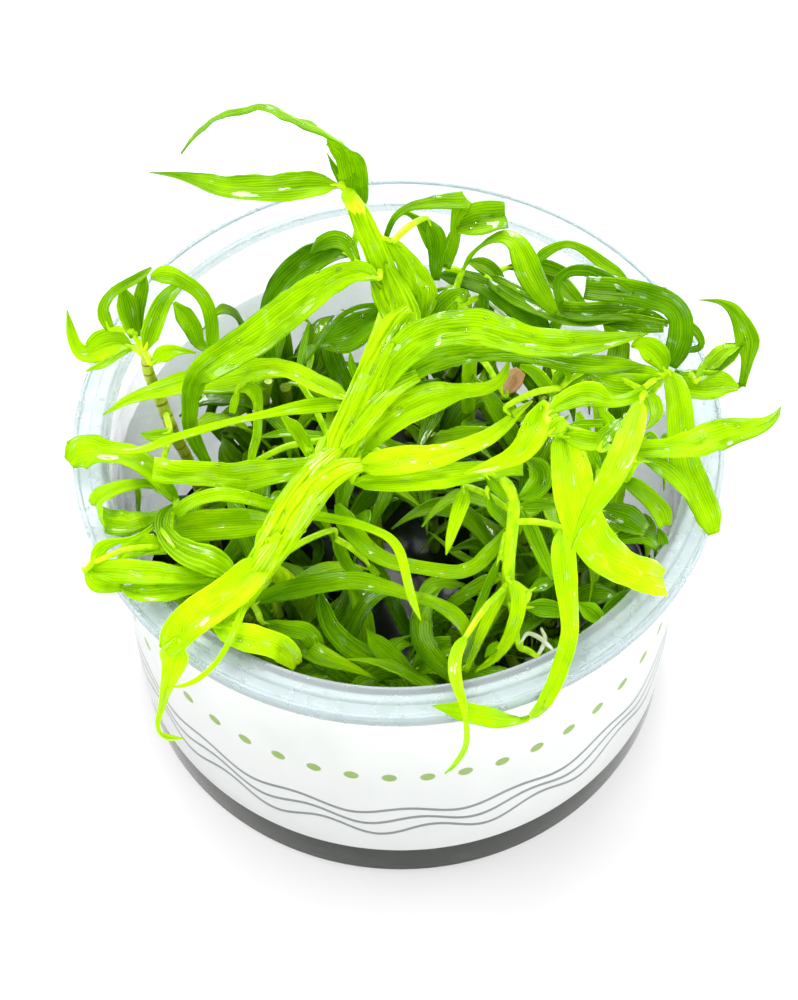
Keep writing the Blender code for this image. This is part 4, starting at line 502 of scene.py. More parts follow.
# Small leaves and strands between the large ones, in the same rows
SMALL_LEAVES = {
    "front_small_leaves": [
        [(262, 622, 56, 1.0, 10), (285, 628, 57, 2.6, 16), (305, 632, 56.5, 3.2, 16),
         (315, 643, 54, 3.0, 4), (318, 655, 51, 1.6, -4)],
        [(366, 628, 55, 0.3, 0), (375, 642, 53.5, 2.9, 4), (388, 655, 51.5, 3.5, 8),
         (403, 668, 49.5, 2.9, 8), (418, 682, 46.5, 2.2, 4)],
        [(414, 672, 46, 2.2, 6), (424, 662, 49, 3.8, 10), (436, 650, 51, 4.0, 12),
         (452, 646, 51.5, 3.0, 12)],
        [(300, 677, 48, 0.8, 10), (316, 674, 49, 2.2, 12), (334, 676, 48.4, 2.6, 12),
         (352, 683, 46.6, 1.6, 8)],
        [(485, 657, 56, 1.0, 0), (491, 650, 57.2, 1.8, 6), (499, 643, 58, 0.8, 8)],
        [(500, 557, 66.5, 1.2, 0), (490, 580, 64.5, 1.4, 4), (482, 600, 62.5, 1.5, 6),
         (475, 620, 60, 1.5, 4), (468, 645, 57, 1.3, 0), (462, 664, 54, 1.0, -4)],
        [(525, 607, 61.5, 2.0, 12), (545, 608, 62, 3.0, 16), (563, 611, 61, 2.2, 14)],
        [(528, 592, 62, 1.2, 10), (541, 585, 62.8, 2.4, 14), (556, 579, 63, 1.2, 12)],
        [(576, 603, 64, 1.6, 10), (590, 611, 64, 3.0, 14), (603, 622, 62.6, 1.6, 10)],
    ],
    "left_small_leaves": [
        [(170, 533, 62, 2.6, -8), (186, 528, 64, 4.4, -10), (212, 525, 65, 4.9, -8),
         (244, 523, 64.5, 4.6, -4), (272, 522, 63, 2.4, 0)],
        [(118, 560, 66.2, 1.6, 10), (130, 549, 67, 3.2, 16), (148, 545, 67.2, 3.4, 18),
         (167, 549, 66, 1.8, 14)],
        [(141, 434, 66, 1.2, 10), (154, 436, 66.2, 2.2, 14), (170, 432, 65.2, 1.4, 14)],
        [(237, 391, 72, 1.4, 0), (247, 388, 72.6, 2.2, 6), (255, 393, 72, 2.2, 4), (258, 404, 70, 1.6, 0),
         (258, 420, 68, 1.5, 0), (257, 436, 66, 1.5, 0), (253, 450, 64, 1.4, 0), (251, 463, 62, 1.2, 0)],
        [(239, 387, 72.6, 1.0, 0), (235, 400, 71, 1.4, 0), (232, 413, 69, 1.0, 0)],
        [(282, 416, 70, 1.6, 0), (296, 430, 69, 2.3, 6), (306, 448, 66.6, 1.6, 0)],
        [(290, 420, 69.6, 1.4, 0), (303, 440, 67.6, 2.2, 4), (313, 460, 65, 1.4, 0)],
        [(86, 371, 71.4, 0.6, -10), (105, 363, 72.6, 1.4, -16), (121, 352, 73.2, 1.4, -16),
         (135, 347, 73, 0.8, -10)],
        [(151, 364, 75.4, 1.6, -10), (160, 356, 76.4, 2.8, -14), (171, 351, 76.8, 2.2, -14),
         (184, 351, 76.8, 1.0, -10), (196, 353, 76.4, 0.4, -6)],
        [(157, 523, 67.5, 0.5, 0), (165, 535, 68.8, 0.8, 0), (175, 548, 69, 0.4, 0)],
    ],
    "middle_small_leaves": [
        [(333, 530, 63, 1.2, 0), (340, 550, 61, 2.0, 4), (350, 568, 59, 1.8, 6),
         (362, 573, 57.6, 1.0, 8)],
        [(364, 559, 60, 1.0, 0), (378, 576, 57.6, 1.2, 4)],
        [(526, 459, 76, 1.6, 10), (538, 467, 76.2, 3.2, 8), (541, 480, 75.6, 3.7, 2),
         (532, 491, 74.6, 3.0, -8), (519, 498, 73.6, 0.8, -12)],
        [(487, 490, 73.6, 1.0, 0), (492, 508, 71.6, 1.6, 4), (502, 519, 70, 1.6, 6),
         (509, 528, 69, 1.0, 4)],
        [(484, 473, 75.6, 1.0, 0), (495, 487, 75.2, 1.7, 6), (507, 502, 74, 0.8, 6)],
        [(521, 510, 66, 1.4, 0), (530, 527, 66, 2.4, 4), (538, 545, 65.5, 2.4, 6), (545, 562, 65, 2.0, 6),
         (553, 580, 63.6, 0.6, 6)],
        [(513, 508, 66.6, 1.0, 12), (534, 505, 66.8, 2.1, 16), (556, 505, 66, 1.2, 14)],
        [(309, 322, 73, 0.9, 0), (305, 340, 71, 1.1, 0), (301, 358, 69.6, 1.1, 0),
         (297, 377, 68, 0.8, 0)],
        [(350, 352, 73, 1.0, 0), (353, 370, 72, 1.3, 0), (361, 387, 70, 1.0, 0)],
        [(260, 437, 60, 1.0, 10), (290, 433, 61, 1.3, 12), (337, 437, 61, 1.2, 12)],
        [(506, 407, 80, 0.8, 0), (509, 412, 79.6, 1.0, 0), (514, 418, 79, 0.2, 0)],
    ],
    "back_small_leaves": [
        [(311, 254, 86.6, 1.4, 0), (321, 244, 88.2, 2.4, 4), (335, 239, 89.4, 2.8, 8),
         (348, 245, 89.4, 2.4, 10), (357, 262, 88, 1.4, 4)],
        [(466, 261, 79.4, 1.2, 10), (480, 264, 80, 2.4, 14), (491, 270, 80, 2.6, 12),
         (498, 280, 79.4, 2.2, 4), (496, 292, 78, 0.8, -4)],
        [(327, 153, 103.4, 0.3, 0), (334, 167, 101.4, 1.0, 0), (341, 181, 98.8, 1.2, 0)],
        [(610, 541, 65.6, 1.4, 12), (625, 537, 66.2, 2.4, 16), (641, 535, 66.2, 2.6, 16),
         (652, 540, 65.6, 2.4, 10), (658, 549, 64.2, 1.2, 4)],
        [(598, 509, 67.4, 2.2, 10), (614, 514, 68.2, 3.9, 14), (630, 520, 68.2, 4.2, 14),
         (646, 531, 67, 2.0, 10)],
        [(658, 528, 66.6, 1.0, 4), (662, 538, 65.6, 2.0, 4), (664, 550, 64, 1.0, 0)],
        [(598, 622, 60.6, 1.0, -6), (610, 610, 61.8, 2.4, -8), (622, 599, 62.6, 2.4, -8),
         (631, 590, 63, 1.0, -8)],
        [(631, 589, 63.6, 0.5, 0), (637, 598, 63, 1.0, 0), (642, 607, 61.6, 0.3, 0)],
        [(440, 262, 81, 1.0, 0), (433, 244, 83, 2.6, 14), (426, 229, 84.6, 2.4, 20),
         (416, 218, 86, 1.3, 12), (404, 213, 86.6, 0.7, 8), (390, 222, 86, 0.2, 0)],
        [(446, 268, 80.4, 1.0, 0), (450, 250, 82.4, 2.4, -10), (455, 234, 84, 1.9, -14),
         (460, 220, 85.6, 0.6, -8)],
        [(486, 276, 79.4, 1.6, 0), (500, 285, 80, 2.8, 10), (519, 296, 80.4, 3.3, 14),
         (541, 306, 80.6, 3.6, 16), (564, 313, 81, 3.8, 14), (589, 314, 81.4, 3.9, 8),
         (616, 310, 82, 3.6, 2), (640, 303, 82.4, 2.8, 0), (660, 296, 82.4, 1.2, 0)],
        [(506, 268, 78.4, 1.4, -6), (527, 265, 79.2, 2.4, -10), (548, 268, 79.4, 2.6, -10),
         (570, 276, 79, 2.0, -4)],
        [(543, 262, 77.6, 2.0, 0), (556, 279, 78.2, 3.0, 6), (571, 296, 78.4, 3.0, 6),
         (588, 312, 78, 1.2, 0)],
        [(604, 324, 80, 1.2, 0), (620, 322, 80.8, 2.6, 4), (640, 324, 81.4, 2.9, 4),
         (664, 326, 81.6, 2.0, 0)],
        [(424, 330, 82, 2.0, 0), (436, 315, 84.4, 3.4, 6), (448, 302, 86.2, 3.6, 12),
         (457, 296, 87.2, 2.6, 30), (463, 303, 86.8, 1.0, 60)],
        [(474, 345, 66, 1.6, 0), (481, 322, 72, 1.9, 0), (484, 300, 76.6, 1.6, 0),
         (480, 284, 79, 0.8, 0)],
        [(525, 345, 66, 2.0, 0), (520, 322, 70, 2.3, 6), (512, 304, 73, 2.0, 6),
         (500, 292, 75.6, 0.8, 0)],
        [(548, 350, 68, 1.8, 0), (552, 332, 72, 2.0, 0), (560, 318, 74.6, 1.6, 0)],
    ],
    "right_small_leaves": [
        [(666, 374, 79.2, 1.4, 0), (660, 359, 81.6, 3.6, 12), (650, 348, 83.2, 3.8, 16),
         (639, 344, 83.8, 2.2, 10), (631, 347, 83.2, 0.3, 0)],
        [(664, 375, 79.4, 1.0, 0), (646, 371, 80.8, 1.8, -6), (622, 369, 81.4, 1.8, -8),
         (604, 368, 81.2, 1.1, -6), (592, 372, 80.2, 0.2, 0)],
        [(662, 377, 79, 1.2, 0), (643, 383, 80, 3.0, 10), (619, 385, 80.4, 3.7, 14),
         (602, 380, 80.4, 2.6, 8), (590, 374, 79.8, 0.6, 0)],
        [(592, 371, 79.6, 1.6, 0), (575, 373, 79.6, 3.2, 10), (562, 380, 78.8, 3.4, 6),
         (556, 395, 77, 0.4, 0)],
        [(555, 361, 80.4, 1.0, 0), (563, 366, 80.8, 1.8, 20), (568, 377, 80, 1.0, 0),
         (560, 388, 78.4, 0.8, 0)],
        [(562, 436, 85, 1.6, 0), (575, 438, 85.8, 2.6, 8), (590, 441, 86.2, 3.0, 10),
         (604, 441, 85.8, 2.4, 6)],
        [(566, 427, 85.4, 0.9, 0), (580, 424, 86, 1.3, -6), (603, 423, 86, 1.2, -8)],
        [(600, 450, 86.6, 1.0, 0), (604, 439, 87.6, 2.6, 40), (611, 432, 88, 2.6, -30),
         (617, 425, 87.6, 1.8, 30), (622, 419, 87, 0.4, 0)],
        [(549, 434, 86.2, 1.4, 0), (556, 427, 87.4, 2.8, 0), (565, 420, 87.2, 1.4, 0)],
        [(641, 392, 79.4, 1.0, 0), (653, 399, 79, 2.1, 14), (656, 414, 78, 2.0, 10),
         (647, 429, 76.6, 0.4, 0)],
        [(643, 440, 80.6, 0.8, 0), (650, 435, 81.4, 1.5, 10), (659, 442, 80.8, 0.4, 0)],
        [(640, 460, 79.4, 0.6, 0), (655, 464, 79, 2.2, 8), (671, 474, 77, 2.6, 8),
         (684, 488, 74.6, 2.0, 4), (692, 503, 72, 0.6, 0)],
        [(668, 376, 76.4, 1.6, 0), (684, 382, 76.2, 4.0, 14), (703, 385, 75.4, 4.6, -10),
         (722, 384, 74, 3.8, -24), (738, 388, 72.6, 1.0, 0)],
        [(700, 372, 76, 1.2, 0), (712, 362, 77, 2.6, 30), (724, 352, 77.6, 2.2, 40),
         (738, 346, 77, 0.8, 20)],
        [(628, 470, 66, 1.6, 0), (622, 447, 70, 2.0, 4), (612, 425, 73, 2.0, 8), (600, 408, 75, 1.0, 4)],
        [(600, 470, 66, 1.6, 0), (590, 450, 70, 2.2, 6), (584, 430, 73, 2.2, 6), (578, 412, 75, 0.8, 0)],
        [(560, 400, 70, 1.2, 0), (546, 385, 72.6, 2.2, -4), (534, 372, 74, 2.0, -6),
         (520, 366, 75, 0.8, 0)],
    ],
}

# Folded leaf feet that wrap the stems where the leaves part from them, in the same rows
SHEATHS = {
    "front_sheath": [
        [(232, 604, 60.5, 2.6, 0), (247, 588, 63.4, 3.8, 0), (260, 568, 67, 4.6, 0),
         (272, 548, 71.2, 5.4, 0), (284, 527, 74.2, 6.0, 0), (297, 507, 76, 6.2, 0),
         (312, 487, 77.2, 6.2, 0), (328, 468, 77.6, 5.6, 0), (342, 450, 77.6, 4.2, 0),
         (352, 437, 77.2, 2.6, 0)],
        [(244, 600, 62.6, 1.0, 10), (262, 574, 68.4, 2.4, 12), (280, 545, 73.8, 3.4, 14),
         (291, 524, 76.4, 3.8, 10), (303, 505, 77.8, 4.2, 6), (320, 485, 78.6, 4.0, 4),
         (340, 470, 78.8, 3.6, 8), (362, 464, 78.4, 2.2, 10)],
        [(206, 622, 57.6, 0.8, -14), (226, 600, 62.4, 2.0, -16), (249, 574, 67.4, 2.8, -16),
         (266, 550, 72.4, 3.0, -14), (279, 527, 75.4, 3.2, -12), (293, 504, 77.4, 3.4, -8),
         (309, 482, 78.3, 3.2, -6), (326, 462, 78.5, 2.6, -4), (344, 446, 78.3, 1.4, 0)],
        [(256, 548, 71.6, 1.2, 0), (263, 536, 73.4, 2.6, 20), (272, 534, 74.6, 2.4, 40),
         (277, 542, 74, 0.8, 60)],
        [(166, 652, 55.4, 1.0, 8), (182, 636, 59, 2.6, 12), (204, 620, 62, 3.2, 12),
         (226, 602, 65, 3.0, 10), (246, 580, 68.6, 2.6, 8), (264, 556, 72.4, 2.2, 6),
         (280, 534, 75.6, 1.0, 0)],
        [(196, 645, 57, 0.8, -10), (214, 628, 60.6, 2.4, -12), (236, 606, 64.2, 2.8, -12),
         (256, 580, 68.2, 2.6, -8), (274, 554, 72.6, 2.0, -4), (288, 532, 75.6, 1.0, 0)],
        [(231, 640, 57, 0.6, 0), (238, 615, 62, 1.6, 8), (252, 590, 66.4, 2.2, 12),
         (268, 566, 70.6, 1.8, 8), (282, 544, 74.2, 0.8, 0)],
    ],
    "middle_sheath": [
        [(326, 470, 76.2, 4.2, 0), (338, 450, 78.4, 5.2, 0), (349, 428, 80.4, 5.4, 0),
         (360, 404, 82.4, 5.0, 4), (371, 381, 84.6, 4.4, 6), (382, 360, 86.6, 3.8, 8),
         (392, 342, 88, 2.6, 8)],
        [(330, 458, 77.4, 2.2, -12), (341, 434, 79.8, 3.2, -10), (352, 410, 82, 3.4, -8),
         (363, 386, 84.4, 3.4, -8), (374, 362, 86.4, 3.6, -8), (386, 340, 88, 3.8, -8),
         (398, 322, 89, 3.6, -6), (410, 309, 89.6, 2.0, 0)],
        [(342, 448, 79.2, 2.0, 16), (357, 427, 81, 3.0, 14), (374, 405, 82.4, 3.4, 12),
         (394, 387, 83.4, 2.8, 14), (418, 375, 84, 1.8, 16)],
    ],
    "top_sheath": [
        [(350, 193, 98.3, 2.2, 0), (358, 211, 96.6, 3.1, 0), (366, 229, 94.8, 3.5, 0),
         (374, 247, 92.8, 3.7, 0), (381, 265, 91, 4.0, 0), (388, 283, 89.4, 4.4, 0),
         (394, 301, 87.8, 4.6, 0), (399, 319, 86.4, 4.2, 0), (403, 336, 85.4, 2.8, 0)],
        [(386, 264, 91.2, 1.4, 10), (395, 281, 89.8, 2.4, 10), (403, 298, 88.4, 3.2, 8),
         (409, 315, 87.2, 3.6, 6), (412, 332, 86.4, 2.4, 4)],
        [(372, 280, 89.4, 2.0, -14), (380, 295, 88, 2.8, -10), (388, 310, 86.8, 3.2, -8),
         (396, 326, 85.8, 2.4, -6)],
    ],
}

# Thin white roots between the leaves: across and down in the picture, height and thickness in millimetres
PALE_ROOTS = [
    [(482, 297, 76, 0.5), (492, 305, 75, 0.6), (502, 313, 74.4, 0.6), (513, 324, 73.4, 0.5)],
    [(519, 647, 55, 0.4), (527, 634, 57, 0.6), (538, 637, 57.6, 0.8), (548, 645, 57, 0.7),
     (553, 650, 56, 0.4)],
    [(537, 656, 54.6, 0.5), (542, 648, 56, 0.7), (545, 638, 57.4, 0.7), (541, 628, 58, 0.4)],
    [(421, 484, 56, 0.7), (424, 468, 58, 0.8), (428, 452, 60, 0.7)],
    [(340, 466, 57, 0.7), (342, 450, 60, 0.8), (345, 436, 62, 0.6)],
]

# One browned leaf low in the middle, in the same rows as the other leaves
BROWNED_LEAF = [
    [(505, 395, 62, 1.4, 0), (509, 387, 64, 2.6, 10), (515, 378, 66, 3.2, 14), (521, 371, 67.4, 2.0, 8)],
]

# Blades whose foot lies off its stem, by number in their piece, with the end that is the foot:
# 0 for the first row, -1 for the last
FREE_FEET = {
    "dark_back_leaf": {0: 0}, "folded_tip_leaf": {0: 0}, "ring_leaf": {0: 0}, "left_band_leaf": {0: -1},
    "lower_right_leaf": {0: 0}, "leaning_right_leaf": {0: 0}, "wide_front_leaf": {0: 0},
    "pale_crossing_leaf": {0: 0}, "right_tip_leaf": {0: 0}, "thin_arch_leaf": {0: 0},
    "right_curl_leaf": {1: -1, 2: -1}, "right_inner_leaf": {0: 0}, "middle_pointed_leaf": {0: 0},
    "left_loop_leaf": {0: -1, 1: -1, 2: -1}, "left_pale_leaf": {0: 0},
    "front_small_leaves": {1: -1, 2: 0, 6: 0, 7: 0},
    "left_small_leaves": {1: -1, 2: -1, 3: -1, 4: 0, 5: -1, 6: -1, 7: -1},
    "middle_small_leaves": {0: 0, 1: 0, 5: 0, 6: 0, 7: -1, 8: -1, 9: -1, 10: 0},
    "back_small_leaves": {0: -1, 2: -1, 4: 0, 8: 0, 9: 0, 11: 0, 12: 0, 16: 0, 17: 0},
    "right_small_leaves": {
        3: 0, 4: -1, 5: 0, 6: 0, 7: 0, 8: 0, 10: 0, 11: 0, 12: 0, 13: 0, 14: 0, 15: 0, 16: 0},
    "browned_leaf": {0: 0}, "top_arching_leaf": {0: 0}, "big_diagonal_leaf": {0: 0},
    "small_loop_leaf": {0: 0}, "thin_front_strand": {0: 0}, "back_tapering_leaf": {0: 0},
    "front_hanging_leaf": {0: 0}, "over_rim_leaf": {0: 0}, "middle_band_leaf": {0: 0},
    "front_wide_low_leaf": {0: 0}, "curled_bud_leaf": {0: 0, 1: 0},
}

# How bright each leaf is coloured, base to tip, from 0 for deep green to 1 for yellow-green: partly the
# leaf's own colour, partly painted light and shade for where it lies in the clump; the rest use TONE
TONE = (0.62, 0.72)
TONES = {
    "top_arching_leaf": (0.42, 0.34), "top_lance_leaf": (0.42, 0.34), "folded_neck_leaf": (0.56, 0.5),
    "big_diagonal_leaf": (0.62, 0.36), "dark_back_leaf": (0.3, 0.2), "long_left_leaf": (0.8, 0.7),
    "thin_left_leaf": (0.75, 0.7), "folded_tip_leaf": (0.6, 0.62), "ring_leaf": (0.6, 0.62),
    "left_band_leaf": (0.7, 0.6), "long_grass_leaf": (0.55, 0.8), "left_turning_leaf": (0.35, 0.62),
    "low_left_leaf": (0.6, 0.66), "middle_long_leaf": (0.92, 0.8), "thin_front_strand": (0.7, 0.7),
    "broad_right_leaf": (0.62, 0.45), "second_right_leaf": (0.55, 0.4), "wavy_leaf": (0.75, 0.7),
    "middle_right_leaf": (1.0, 0.88), "lower_right_leaf": (0.85, 0.75), "leaning_right_leaf": (0.8, 0.85),
    "wide_front_leaf": (0.8, 0.84), "pale_crossing_leaf": (0.7, 0.74), "hooked_leaf": (0.6, 0.6),
    "right_hanging_leaf": (0.65, 0.55), "right_tip_leaf": (0.66, 0.5), "dark_band_leaf": (0.35, 0.3),
    "back_band_leaf": (0.3, 0.4), "thin_arch_leaf": (0.6, 0.6), "tall_arch_leaf": (0.55, 0.45),
    "back_arch_leaf": (0.5, 0.5), "back_tapering_leaf": (0.5, 0.5), "back_dark_leaf": (0.3, 0.25),
    "right_curl_leaf": (0.5, 0.5), "front_forked_leaf": (0.75, 0.8), "front_hanging_leaf": (0.72, 0.6),
    "over_rim_leaf": (0.85, 0.6), "middle_low_leaf": (0.62, 0.7), "middle_band_leaf": (0.4, 0.72),
    "front_wide_low_leaf": (0.75, 0.85), "striped_front_leaf": (0.35, 0.55),
    "middle_pointed_leaf": (0.75, 0.85), "left_arching_leaf": (0.45, 0.35), "left_loop_leaf": (0.5, 0.5),
    "left_pale_leaf": (0.6, 0.5), "curled_bud_leaf": (0.4, 0.35),
    "front_small_leaves": (0.25, 0.3), "left_small_leaves": (0.6, 0.7), "middle_small_leaves": (0.35, 0.4),
    "back_small_leaves": (0.2, 0.35), "right_small_leaves": (0.4, 0.6), "front_sheath": (0.74, 0.84),
    "middle_sheath": (0.75, 0.62), "top_sheath": (0.5, 0.58),
}
# These leaves take the darker copy of the leaf surface, which is painted shade; the others take the lighter
# copy, which is painted light
SHADED_LEAVES = {
    "dark_back_leaf", "back_dark_leaf", "back_band_leaf", "dark_band_leaf", "curled_bud_leaf",
    "thin_arch_leaf", "striped_front_leaf", "middle_low_leaf", "middle_band_leaf", "right_inner_leaf",
    "back_tapering_leaf", "back_arch_leaf", "right_curl_leaf", "left_loop_leaf",
}

# Leaves that were cut off square at the foot, and leaves that are folded or pleated more than the rest
CUT_LEAVES = {"dark_band_leaf", "back_arch_leaf", "left_band_leaf"}
PLEATED = {
    "folded_neck_leaf": {"channel": -0.2, "crease": 0.0, "pleat": 0.09, "columns": 17, "crumple": 2.4},
    "striped_front_leaf": {"pleat": 0.12, "columns": 17}, "left_turning_leaf": {"pleat": 0.1, "columns": 17},
    "left_band_leaf": {"pleat": 0.05, "crumple": 2.2}, "broad_right_leaf": {"pleat": 0.03, "columns": 15},
    "second_right_leaf": {"pleat": 0.04, "columns": 15}, "big_diagonal_leaf": {"pleat": 0.04, "columns": 15},
}


def linear(text):
    """An sRGB hex colour as the linear colour that a shader takes."""
    shares = [int(text[k:k + 2], 16) / 255 for k in (1, 3, 5)]
    return (*(s / 12.92 if s <= 0.04045 else ((s + 0.055) / 1.055) ** 2.4 for s in shares), 1.0)


def put(tree, kind, sockets=(), stops=(), **settings):
    """Adds a node with its own settings.

    sockets gives each input, by name or number, a value, an output to link, or a node whose first
    output is linked. stops gives a colour ramp its (place, hex colour) pairs.
    """
    node = tree.nodes.new(kind)
    for key, value in settings.items():
        setattr(node, key, value)
    for key, value in dict(sockets).items():
        if isinstance(value, bpy.types.Node):
            tree.links.new(value.outputs[0], node.inputs[key])
        elif isinstance(value, bpy.types.NodeSocket):
            tree.links.new(value, node.inputs[key])
        else:
            node.inputs[key].default_value = value
    if stops:
        marks = node.color_ramp.elements
        marks.remove(marks[-1])
        for index, (place, colour) in enumerate(stops):
            mark = marks[0] if index == 0 else marks.new(place)
            mark.position = place
            mark.color = linear(colour)
    return node


def new_surface(name):
    """A material with an empty tree, and its output node."""
    made = bpy.data.materials.new(name)
    made.use_nodes = True
    made.node_tree.nodes.clear()
    return made, made.node_tree, put(made.node_tree, "ShaderNodeOutputMaterial")


def leaf_surface(name, stops, glow_stops, through=0.3):
    """Wet young leaf: a thin waxy skin over parallel veins, which lets light through from behind.

    The blade's own map gives millimetres across and along. Veins and streaks run along it, and the
    water that lies on it gives white patches with sharp edges.
    """
    made, tree, output = new_surface(name)
    blade_map = put(tree, "ShaderNodeUVMap", uv_map="Blade")
    place = put(tree, "ShaderNodeTexCoord").outputs["Object"]
    vein_map = put(tree, VECTOR_MATH, {0: blade_map, 1: (1.0, 0.045, 1.0)}, operation="MULTIPLY")
    # Wave bands repeat every 2 pi / 20 units, so this scale sets them one vein apart
    veins = put(tree, "ShaderNodeTexWave", {
        "Vector": vein_map, "Scale": 2 * math.pi / 20 / VEIN_SPACING, "Distortion": 1.8,
        "Detail": 2.0, "Detail Scale": 1.2, "Detail Roughness": 0.6,
    }, wave_type="BANDS", bands_direction="X", wave_profile="SIN").outputs["Fac"]
    streaks = put(tree, NOISE, {"Vector": vein_map, "Scale": 1 / STREAK_WIDTH, "Detail": 4.0})
    # Long noise bands of lighter and darker green along the blade, not tied to its shape: painted light and
    # shade of leaf folds
    fold_shade_map = put(tree, VECTOR_MATH, {0: blade_map, 1: (1.0, 0.16, 1.0)}, operation="MULTIPLY")
    painted_fold_shade = put(tree, NOISE, {"Vector": fold_shade_map, "Scale": 1 / FOLD_SHADE_WIDTH, "Detail": 1.0, "Distortion": 0.4})
    patches = put(tree, NOISE, {"Vector": place, "Scale": 1 / (PATCH_WIDTH * MM), "Detail": 3.0})
    pores = put(tree, NOISE, {"Vector": blade_map, "Scale": 1 / PORE_WIDTH, "Detail": 2.0})
    across = put(tree, "ShaderNodeSeparateXYZ", {0: blade_map})
    from_middle = put(tree, MATH, {0: across}, operation="ABSOLUTE")
    midrib = put(tree, MAP_RANGE, {
        0: from_middle, "From Min": 0.08, "From Max": 0.3, "To Min": 1.0, "To Max": 0.0})
    tone = put(tree, "ShaderNodeAttribute", attribute_name="tone").outputs["Fac"]
    shares = ((streaks, 0.32), (painted_fold_shade, 0.6), (patches, 0.55), (veins, 0.2))
    for pattern, share in shares:
        tone = put(tree, MATH, {0: pattern, 1: share, 2: tone}, operation="MULTIPLY_ADD")
    # These four swing about a half, so half of each share comes off again
    tone = put(tree, MATH, {0: tone, 1: sum(share for pattern, share in shares) / 2}, operation="SUBTRACT")
    tone = put(tree, MATH, {0: midrib, 1: 0.07, 2: tone}, operation="MULTIPLY_ADD")
    colour = put(tree, RAMP, {0: tone}, stops)
    glow = put(tree, RAMP, {0: tone}, glow_stops)
    height = put(tree, MATH, {0: veins, 1: 0.35}, operation="MULTIPLY")
    height = put(tree, MATH, {0: streaks, 1: 0.6, 2: height}, operation="MULTIPLY_ADD")
    height = put(tree, MATH, {0: pores, 1: 0.2, 2: height}, operation="MULTIPLY_ADD")
    raised = put(tree, "ShaderNodeBump", {"Strength": 0.6, "Distance": 0.14 * MM, "Height": height})
    pool_map = put(tree, VECTOR_MATH, {0: blade_map, 1: (1.0, 0.45, 1.0)}, operation="MULTIPLY")
    pools = put(tree, NOISE, {"Vector": pool_map, "Scale": 1 / POOL_WIDTH, "Detail": 2.5, "Distortion": 0.8})
    wet = put(tree, MAP_RANGE, {0: pools, "From Min": 0.555, "From Max": 0.57})
    rough = put(tree, MAP_RANGE, {
        0: patches, "From Min": 0.35, "From Max": 0.65, "To Min": 0.3, "To Max": 0.5})
    skin = put(tree, PRINCIPLED, {
        "Base Color": colour, "Roughness": rough, "IOR": 1.42, "Specular IOR Level": 0.25,
        "Specular Tint": linear("#D8F060"), "Coat Weight": wet, "Coat Roughness": 0.04, "Coat IOR": 1.5,
        "Normal": raised,
    })
    behind = put(tree, "ShaderNodeBsdfTranslucent", {"Color": glow, "Normal": raised})
    both = put(tree, "ShaderNodeMixShader", {0: through, 1: skin, 2: behind})
    tree.links.new(both.outputs[0], output.inputs[0])
    return made


def stem_surface(name, pale, mid, dark, ring, ring_gap, ring_width):
    """Juicy stem: pale green with long fibres, and a darker joint ring every ring_gap millimetres."""
    made, tree, output = new_surface(name)
    place = put(tree, "ShaderNodeTexCoord").outputs["Object"]
    fibre = (1 / (FIBRE_WIDTH * MM), 1 / (FIBRE_WIDTH * MM), 1 / (FIBRE_LENGTH * MM))
    fibre_map = put(tree, VECTOR_MATH, {0: place, 1: fibre}, operation="MULTIPLY")
    fibres = put(tree, NOISE, {"Vector": fibre_map, "Scale": 1.0, "Detail": 3.0})
    blotches = put(tree, NOISE, {"Vector": place, "Scale": 1 / (5.26 * MM), "Detail": 3.0})
    mixed = put(tree, MATH, {0: fibres, 1: 0.6}, operation="MULTIPLY")
    mixed = put(tree, MATH, {0: blotches, 1: 0.5, 2: mixed}, operation="MULTIPLY_ADD")
    colour = put(tree, RAMP, {0: mixed}, ((0.35, dark), (0.52, mid), (0.7, pale)))
    along = put(tree, "ShaderNodeAttribute", attribute_name="along").outputs["Fac"]
    wobble = put(tree, MATH, {0: blotches, 1: 0.5}, operation="MULTIPLY")
    run = put(tree, MATH, {0: along, 1: 1 / MM, 2: wobble}, operation="MULTIPLY_ADD")
    from_ring = put(tree, MATH, {0: run, 1: ring_gap / 2}, operation="PINGPONG")
    ringed = put(tree, MAP_RANGE, {
        0: from_ring, "From Min": ring_width * 0.35, "From Max": ring_width, "To Min": 1.0, "To Max": 0.0})
    painted = put(tree, MIX, {0: ringed, 6: colour, 7: linear(ring)}, data_type="RGBA").outputs[2]
    raised = put(tree, "ShaderNodeBump", {"Strength": 0.5, "Distance": 0.2 * MM, "Height": fibres})
    skin = put(tree, PRINCIPLED, {
        "Base Color": painted, "Roughness": 0.35, "IOR": 1.42, "Specular Tint": linear("#D8F060"),
        "Coat Weight": 0.15, "Coat Roughness": 0.08, "Normal": raised,
    })
    behind = put(tree, "ShaderNodeBsdfTranslucent", {"Color": painted})
    both = put(tree, "ShaderNodeMixShader", {0: 0.2, 1: skin, 2: behind})
    tree.links.new(both.outputs[0], output.inputs[0])
    return made


def cup_surface(name, tint, clear, least_rough, most_rough, sheen):
    """Moulded polystyrene with faint flow marks: clear in the wall, frosted by a fine texture on the rim."""
    made, tree, output = new_surface(name)
    place = put(tree, "ShaderNodeTexCoord").outputs["Object"]
    haze = put(tree, NOISE, {"Vector": place, "Scale": 1 / (4.17 * MM), "Detail": 5.0})
    rough = put(tree, MAP_RANGE, {
        0: haze, "From Min": 0.35, "From Max": 0.7, "To Min": least_rough, "To Max": most_rough})
    flow = put(tree, NOISE, {"Vector": place, "Scale": 1 / (14.3 * MM), "Detail": 2.0})
    raised = put(tree, "ShaderNodeBump", {"Strength": 0.2, "Distance": 0.2 * MM, "Height": flow})
    plastic = put(tree, PRINCIPLED, {
        "Base Color": linear(tint), "Roughness": rough, "IOR": 1.49, "Specular Tint": linear(sheen),
        "Transmission Weight": clear, "Normal": raised,
    })
    tree.links.new(plastic.outputs[0], output.inputs[0])
    return made


